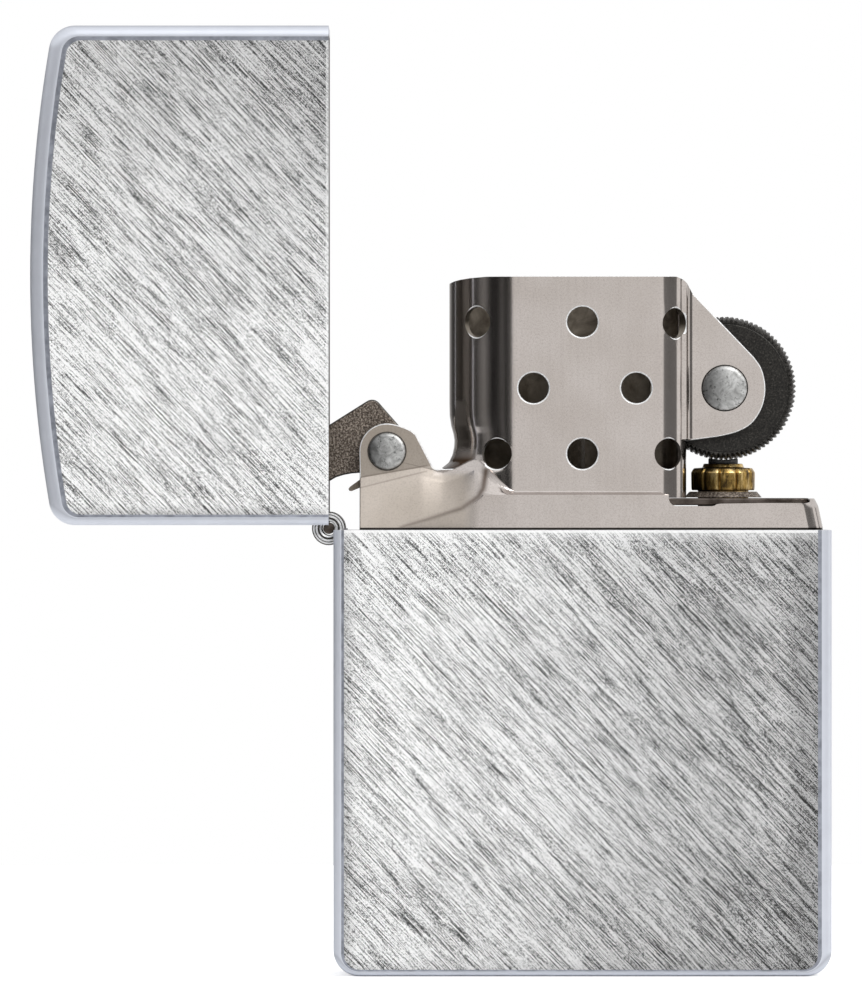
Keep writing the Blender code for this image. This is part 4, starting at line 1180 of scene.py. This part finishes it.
def build_flint_tube():
    """The tube with its fluted head, and the washer below the head."""
    base = DECK_HIGH.z
    low, high = TUBE_LOW.z, TUBE_HIGH.z
    outside = [(1.95, low), (1.95, base + 0.6), (2.42, base + 0.6), (2.45, base + 0.8), (2.47, 38.62)]
    mouth = [(2.26, 38.95), (1.6, 39.0), (1.5, high), (1.3, high)]
    profile = rounded_profile([(1.3, low), *outside, *mouth], 0.07)

    def flutes(radius, height, turn):
        if radius < 2.1 or not base + 0.55 < height < 38.97:
            return 0.0
        phase = abs((turn / math.tau * FLUTES) % 1.0 - 0.5) * 2
        return -0.2 * phase**6

    tube = lathe(profile, upright(FLINT_X), FLUTES * 14, flutes)
    add_piece("brass_flint_tube", tube, BRASS, "insert", "flint_tube", 24)
    ring = [(2.05, base + 0.05), (2.98, base + 0.05), (2.6, base + 0.5), (2.05, base + 0.5)]
    washer = lathe(rounded_profile(ring, 0.06), upright(FLINT_X), 56)
    add_piece("tube_washer", washer, BLACKENED, "insert", "flint_tube_washer")


def build_flint():
    """The flint, with its end worn to the wheel's round, and the plunger that pushes it."""
    low, high = box_mm("flint")
    profile = [(0.0, low.z), (1.14, low.z), (1.14, high.z - 0.02), (0.0, high.z - 0.05)]
    shape = lathe(rounded_profile(profile, 0.12), upright(FLINT_X), 36)
    for vert in shape.verts:
        if vert.co.z > high.z - 0.3:
            bite = math.sqrt(WORN_RADIUS**2 - (vert.co.x - WHEEL[0]) ** 2)
            vert.co.z += WHEEL[1] - bite - high.z
    add_piece("flint_rod", shape, FERROCERIUM, "flint_stack", "flint")
    low, high = box_mm("flint_plunger")
    profile = [(0.0, low.z), (1.13, low.z), (1.13, high.z - 0.5), (0.62, high.z), (0.0, high.z)]
    shape = lathe(rounded_profile(profile, 0.1), upright(FLINT_X), 36)
    add_piece("spring_tip", shape, BRASS, "flint_stack", "flint_plunger")


def tube_along(points, radius, sides=10):
    """A closed round tube through the points, with frames that follow the path."""
    rings = []
    side = Vector((0, 0, 1))
    for i, point in enumerate(points):
        along = (points[min(i + 1, len(points) - 1)] - points[max(i - 1, 0)]).normalized()
        side = (side - along * side.dot(along)).normalized()
        other = along.cross(side)
        turns = [math.tau * k / sides for k in range(sides)]
        rings.append([point + (side * math.cos(t) + other * math.sin(t)) * radius for t in turns])
    return loft(rings)


def build_flint_spring():
    low, high = box_mm("flint_spring")
    length = high.z - low.z
    steps = COIL_TURNS * 28
    turns = arc((FLINT_X, 0), COIL, 0, 360 * COIL_TURNS, steps)
    rise = (length - 2 * WIRE) / steps
    coil = tube_along([Vector((x, y, low.z + WIRE + rise * i)) for i, (x, y) in enumerate(turns)], WIRE)
    spring = add_piece("coil_spring", coil, PLATED, "insert", "flint_spring", 60, False)
    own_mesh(spring)


def build_screw():
    low, high = box_mm("flint_screw")
    head = [(0.0, low.z), (2.1, low.z), (2.3, low.z + 0.2), (2.3, low.z + 1.0), (1.2, low.z + 1.0)]
    profile = rounded_profile([*head, (1.2, high.z), (0.0, high.z)], 0.08)

    def grip(radius, height, turn):
        if radius > 2.2:
            return -0.05 * abs(math.sin(turn * 20))
        if radius > 1.1 and height > low.z + 1.3:
            phase = ((height - low.z) / THREAD_PITCH - turn / math.tau) % 1.0
            return -0.12 * abs(phase - 0.5) * 2
        return 0.0

    rows = divided(profile, 0.1, lambda a, b: abs(b[1] - a[1]))
    screw = new_object("brass_screw", lathe(rows, upright(FLINT_X), 80, grip), (BRASS,))
    cut(screw, box((FLINT_X - 3, -0.3, low.z - 1), (FLINT_X + 3, 0.3, low.z + 0.5)))
    finish_piece(screw, "screw", "flint_screw")


# ---- wick, packing and felt

def build_wick():
    """A round braid: eight strands each way, crossing over and under."""
    low, high = box_mm("wick")
    strands, pitch, steps = 8, 7.0, 96

    def braid(turn, z):
        one, two = (math.cos(strands / 2 * (turn + lay * math.tau * z / pitch)) for lay in (1, -1))
        weave = max(abs(one) * (1 if math.cos(strands * turn) > 0 else 0.6), abs(two) * 0.9)
        return (*polar((WICK_X, 0), 1.26 + 0.2 * weave, math.degrees(turn)), z)

    levels = steps_between(low.z, high.z - 0.35, 0.22)
    rings = [[braid(math.tau * i / steps, z) for i in range(steps)] for z in levels]
    last = rings[-1]
    for share, rise in ((0.85, 0.12), (0.55, 0.24), (0.2, 0.3)):
        rings.append([(WICK_X + (x - WICK_X) * share, y * share, z + rise) for x, y, z in last])
    add_piece("braided_wick", loft(rings), wick_cotton(high.z), "insert", "wick", 60, False)
    base = DECK_HIGH.z
    ring = [(1.6, base + 0.05), (2.38, base + 0.05), (2.38, base + 0.4), (2.1, base + 0.64)]
    ring = rounded_profile([*ring, (1.75, base + 0.64), (1.6, base + 0.5)], 0.08)
    add_piece("eyelet_ring", lathe(ring, upright(WICK_X), 48), BRASS, "insert", "wick_eyelet")


def build_packing():
    """Wads of crimped fibre: rounded lumps with folds, each a little different."""
    for number in range(1, 6):
        node = f"packing_ball_{number}"
        low, high = box_mm(node)
        centre, half = (low + high) / 2, (high - low) / 2
        shape = bmesh.new()
        bmesh.ops.create_icosphere(shape, subdivisions=5, radius=1.0)
        for vert in shape.verts:
            swollen = Vector([math.copysign(abs(c) ** 0.6, c) for c in vert.co])
            spot = swollen * 2.4 + Vector((number * 7.0, 0, 0))
            fold = noise.fractal(spot, 0.9, 2.1, 4)
            scale = 0.955 - 0.05 * abs(fold) - 0.012 * abs(noise.noise(spot * 6))
            vert.co = centre + swollen * half * scale
        wad = add_piece(f"fibre_wad_{number}", shape, FIBRE, "insert", node, 180, False)


def build_felt():
    """The felt pad, with softly fuzzy edges and a cut-out round the flint tube."""
    low, high = box_mm("felt_pad")
    corner = 0.9
    outline = []
    for x, y, start in ((low.x, low.y, 180), (high.x, low.y, 270), (high.x, high.y, 0), (low.x, high.y, 90)):
        centre = (x - math.copysign(corner, x), y - math.copysign(corner, y))
        outline += arc(centre, corner, start, start + 90, 8)
    outline = divided(outline + outline[:1], 0.3, math.dist)[:-1]
    pad = new_object("bottom_felt", plate_z(outline, low.z, high.z, 0.3, 4), (FELT,))
    cut(pad, rod(2.8, 0, 6, upright(FLINT_X), 48))
    finish_piece(pad, "insert", "felt_pad", 50)


# ---- studio

VIEW_CENTRE = (-11.62, 36.5)
VIEW_HEIGHT = 76.6
CAMERA_DISTANCE = 1000.0
FLOOR_RADIUS = 300.0
# Greys of the room's walls, by the share of a turn, with narrow ramps between the panels.
WALLS = (
    (0.000, 0.96), (0.004, 0.96), (0.008, 0.09), (0.034, 0.03), (0.053, 0.10), (0.075, 0.03),
    (0.104, 0.015), (0.122, 0.07), (0.147, 0.22), (0.172, 0.16), (0.195, 0.05), (0.227, 0.16),
    (0.272, 0.04), (0.318, 0.13), (0.360, 0.05), (0.400, 0.06), (0.480, 0.55), (0.560, 0.85),
    (0.690, 0.85), (0.700, 0.30), (0.710, 0.12), (0.725, 0.15), (0.733, 0.98), (0.790, 0.98),
    (0.800, 0.20), (0.900, 0.18), (0.975, 0.22), (0.982, 0.96), (1.000, 0.96),
)


def build_camera():
    camera = bpy.data.cameras.new("camera")
    camera.sensor_fit = "AUTO"
    camera.sensor_width = 36.0
    camera.lens = camera.sensor_width * CAMERA_DISTANCE / VIEW_HEIGHT
    camera.clip_start, camera.clip_end = 0.01, 20.0
    obj = placed("camera", camera)
    obj.location = Vector((VIEW_CENTRE[0], -DEPTH / 2 - CAMERA_DISTANCE, VIEW_CENTRE[1])) * MM
    obj.rotation_euler = (math.radians(90), 0, 0)
    bpy.context.scene.camera = obj


def build_floor():
    shape = bmesh.new()
    bmesh.ops.create_circle(shape, cap_ends=True, segments=96, radius=FLOOR_RADIUS)
    paint = Painter("pale_floor", 0.8, 0.9, 0.0)
    paint.set("Emission Color", 1.0)
    paint.set("Emission Strength", paint.node("LightPath", {}, "Is Camera Ray") * 0.5)
    floor = new_object("floor", shape, (paint.material,))
    floor.location.z = -0.02 * MM


def area_light(name, place, target, size, power):
    light = bpy.data.lights.new(name, "AREA")
    light.shape = "RECTANGLE"
    light.size, light.size_y = size
    light.energy = power
    obj = placed(name, light)
    obj.location = place
    aim = Vector(target) - Vector(place)
    obj.rotation_euler = aim.to_track_quat("-Z", "Y").to_euler()


def build_world():
    """A white room with a few dark panels low at the sides, which polished steel reflects."""
    world = bpy.data.worlds.new("studio")
    world.use_nodes = True
    nodes = Nodes(world.node_tree)
    x, y, z = nodes.axes(nodes.node("TexCoord", {}, "Generated"))
    turn = nodes.spread(nodes.maths("ARCTAN2", x, y), -math.pi, math.pi, kind="LINEAR")
    walls = nodes.ramp(turn, *((place, (grey, grey * 0.985, grey * 0.97)) for place, grey in WALLS))
    room = nodes.mix(walls, (0.94, 0.94, 0.945), nodes.spread(z, 0.16, 0.28, kind="LINEAR"))
    seen = nodes.mix(room, 1.0, nodes.node("LightPath", {}, "Is Camera Ray"))
    nodes.feed(nodes.tree.nodes["Background"].inputs["Color"], seen)
    bpy.context.scene.world = world


def build_lights():
    area_light("key", (0.5, -0.75, 0.75), (-0.01, 0, 0.035), (0.6, 0.5), 6.6)
    area_light("top", (0.0, 0.0, 1.0), (0, 0, 0.03), (1.0, 1.0), 0.8)


for build in (
    build_camera, build_floor, build_world, build_lights, build_shells, build_hinge, build_insert, build_deck,
    build_rivets, build_cam, build_cam_spring, build_wheel, build_flint_tube, build_flint, build_flint_spring,
    build_screw, build_wick, build_packing, build_felt,
):
    build()
bpy.context.scene.view_settings.view_transform = "Standard"
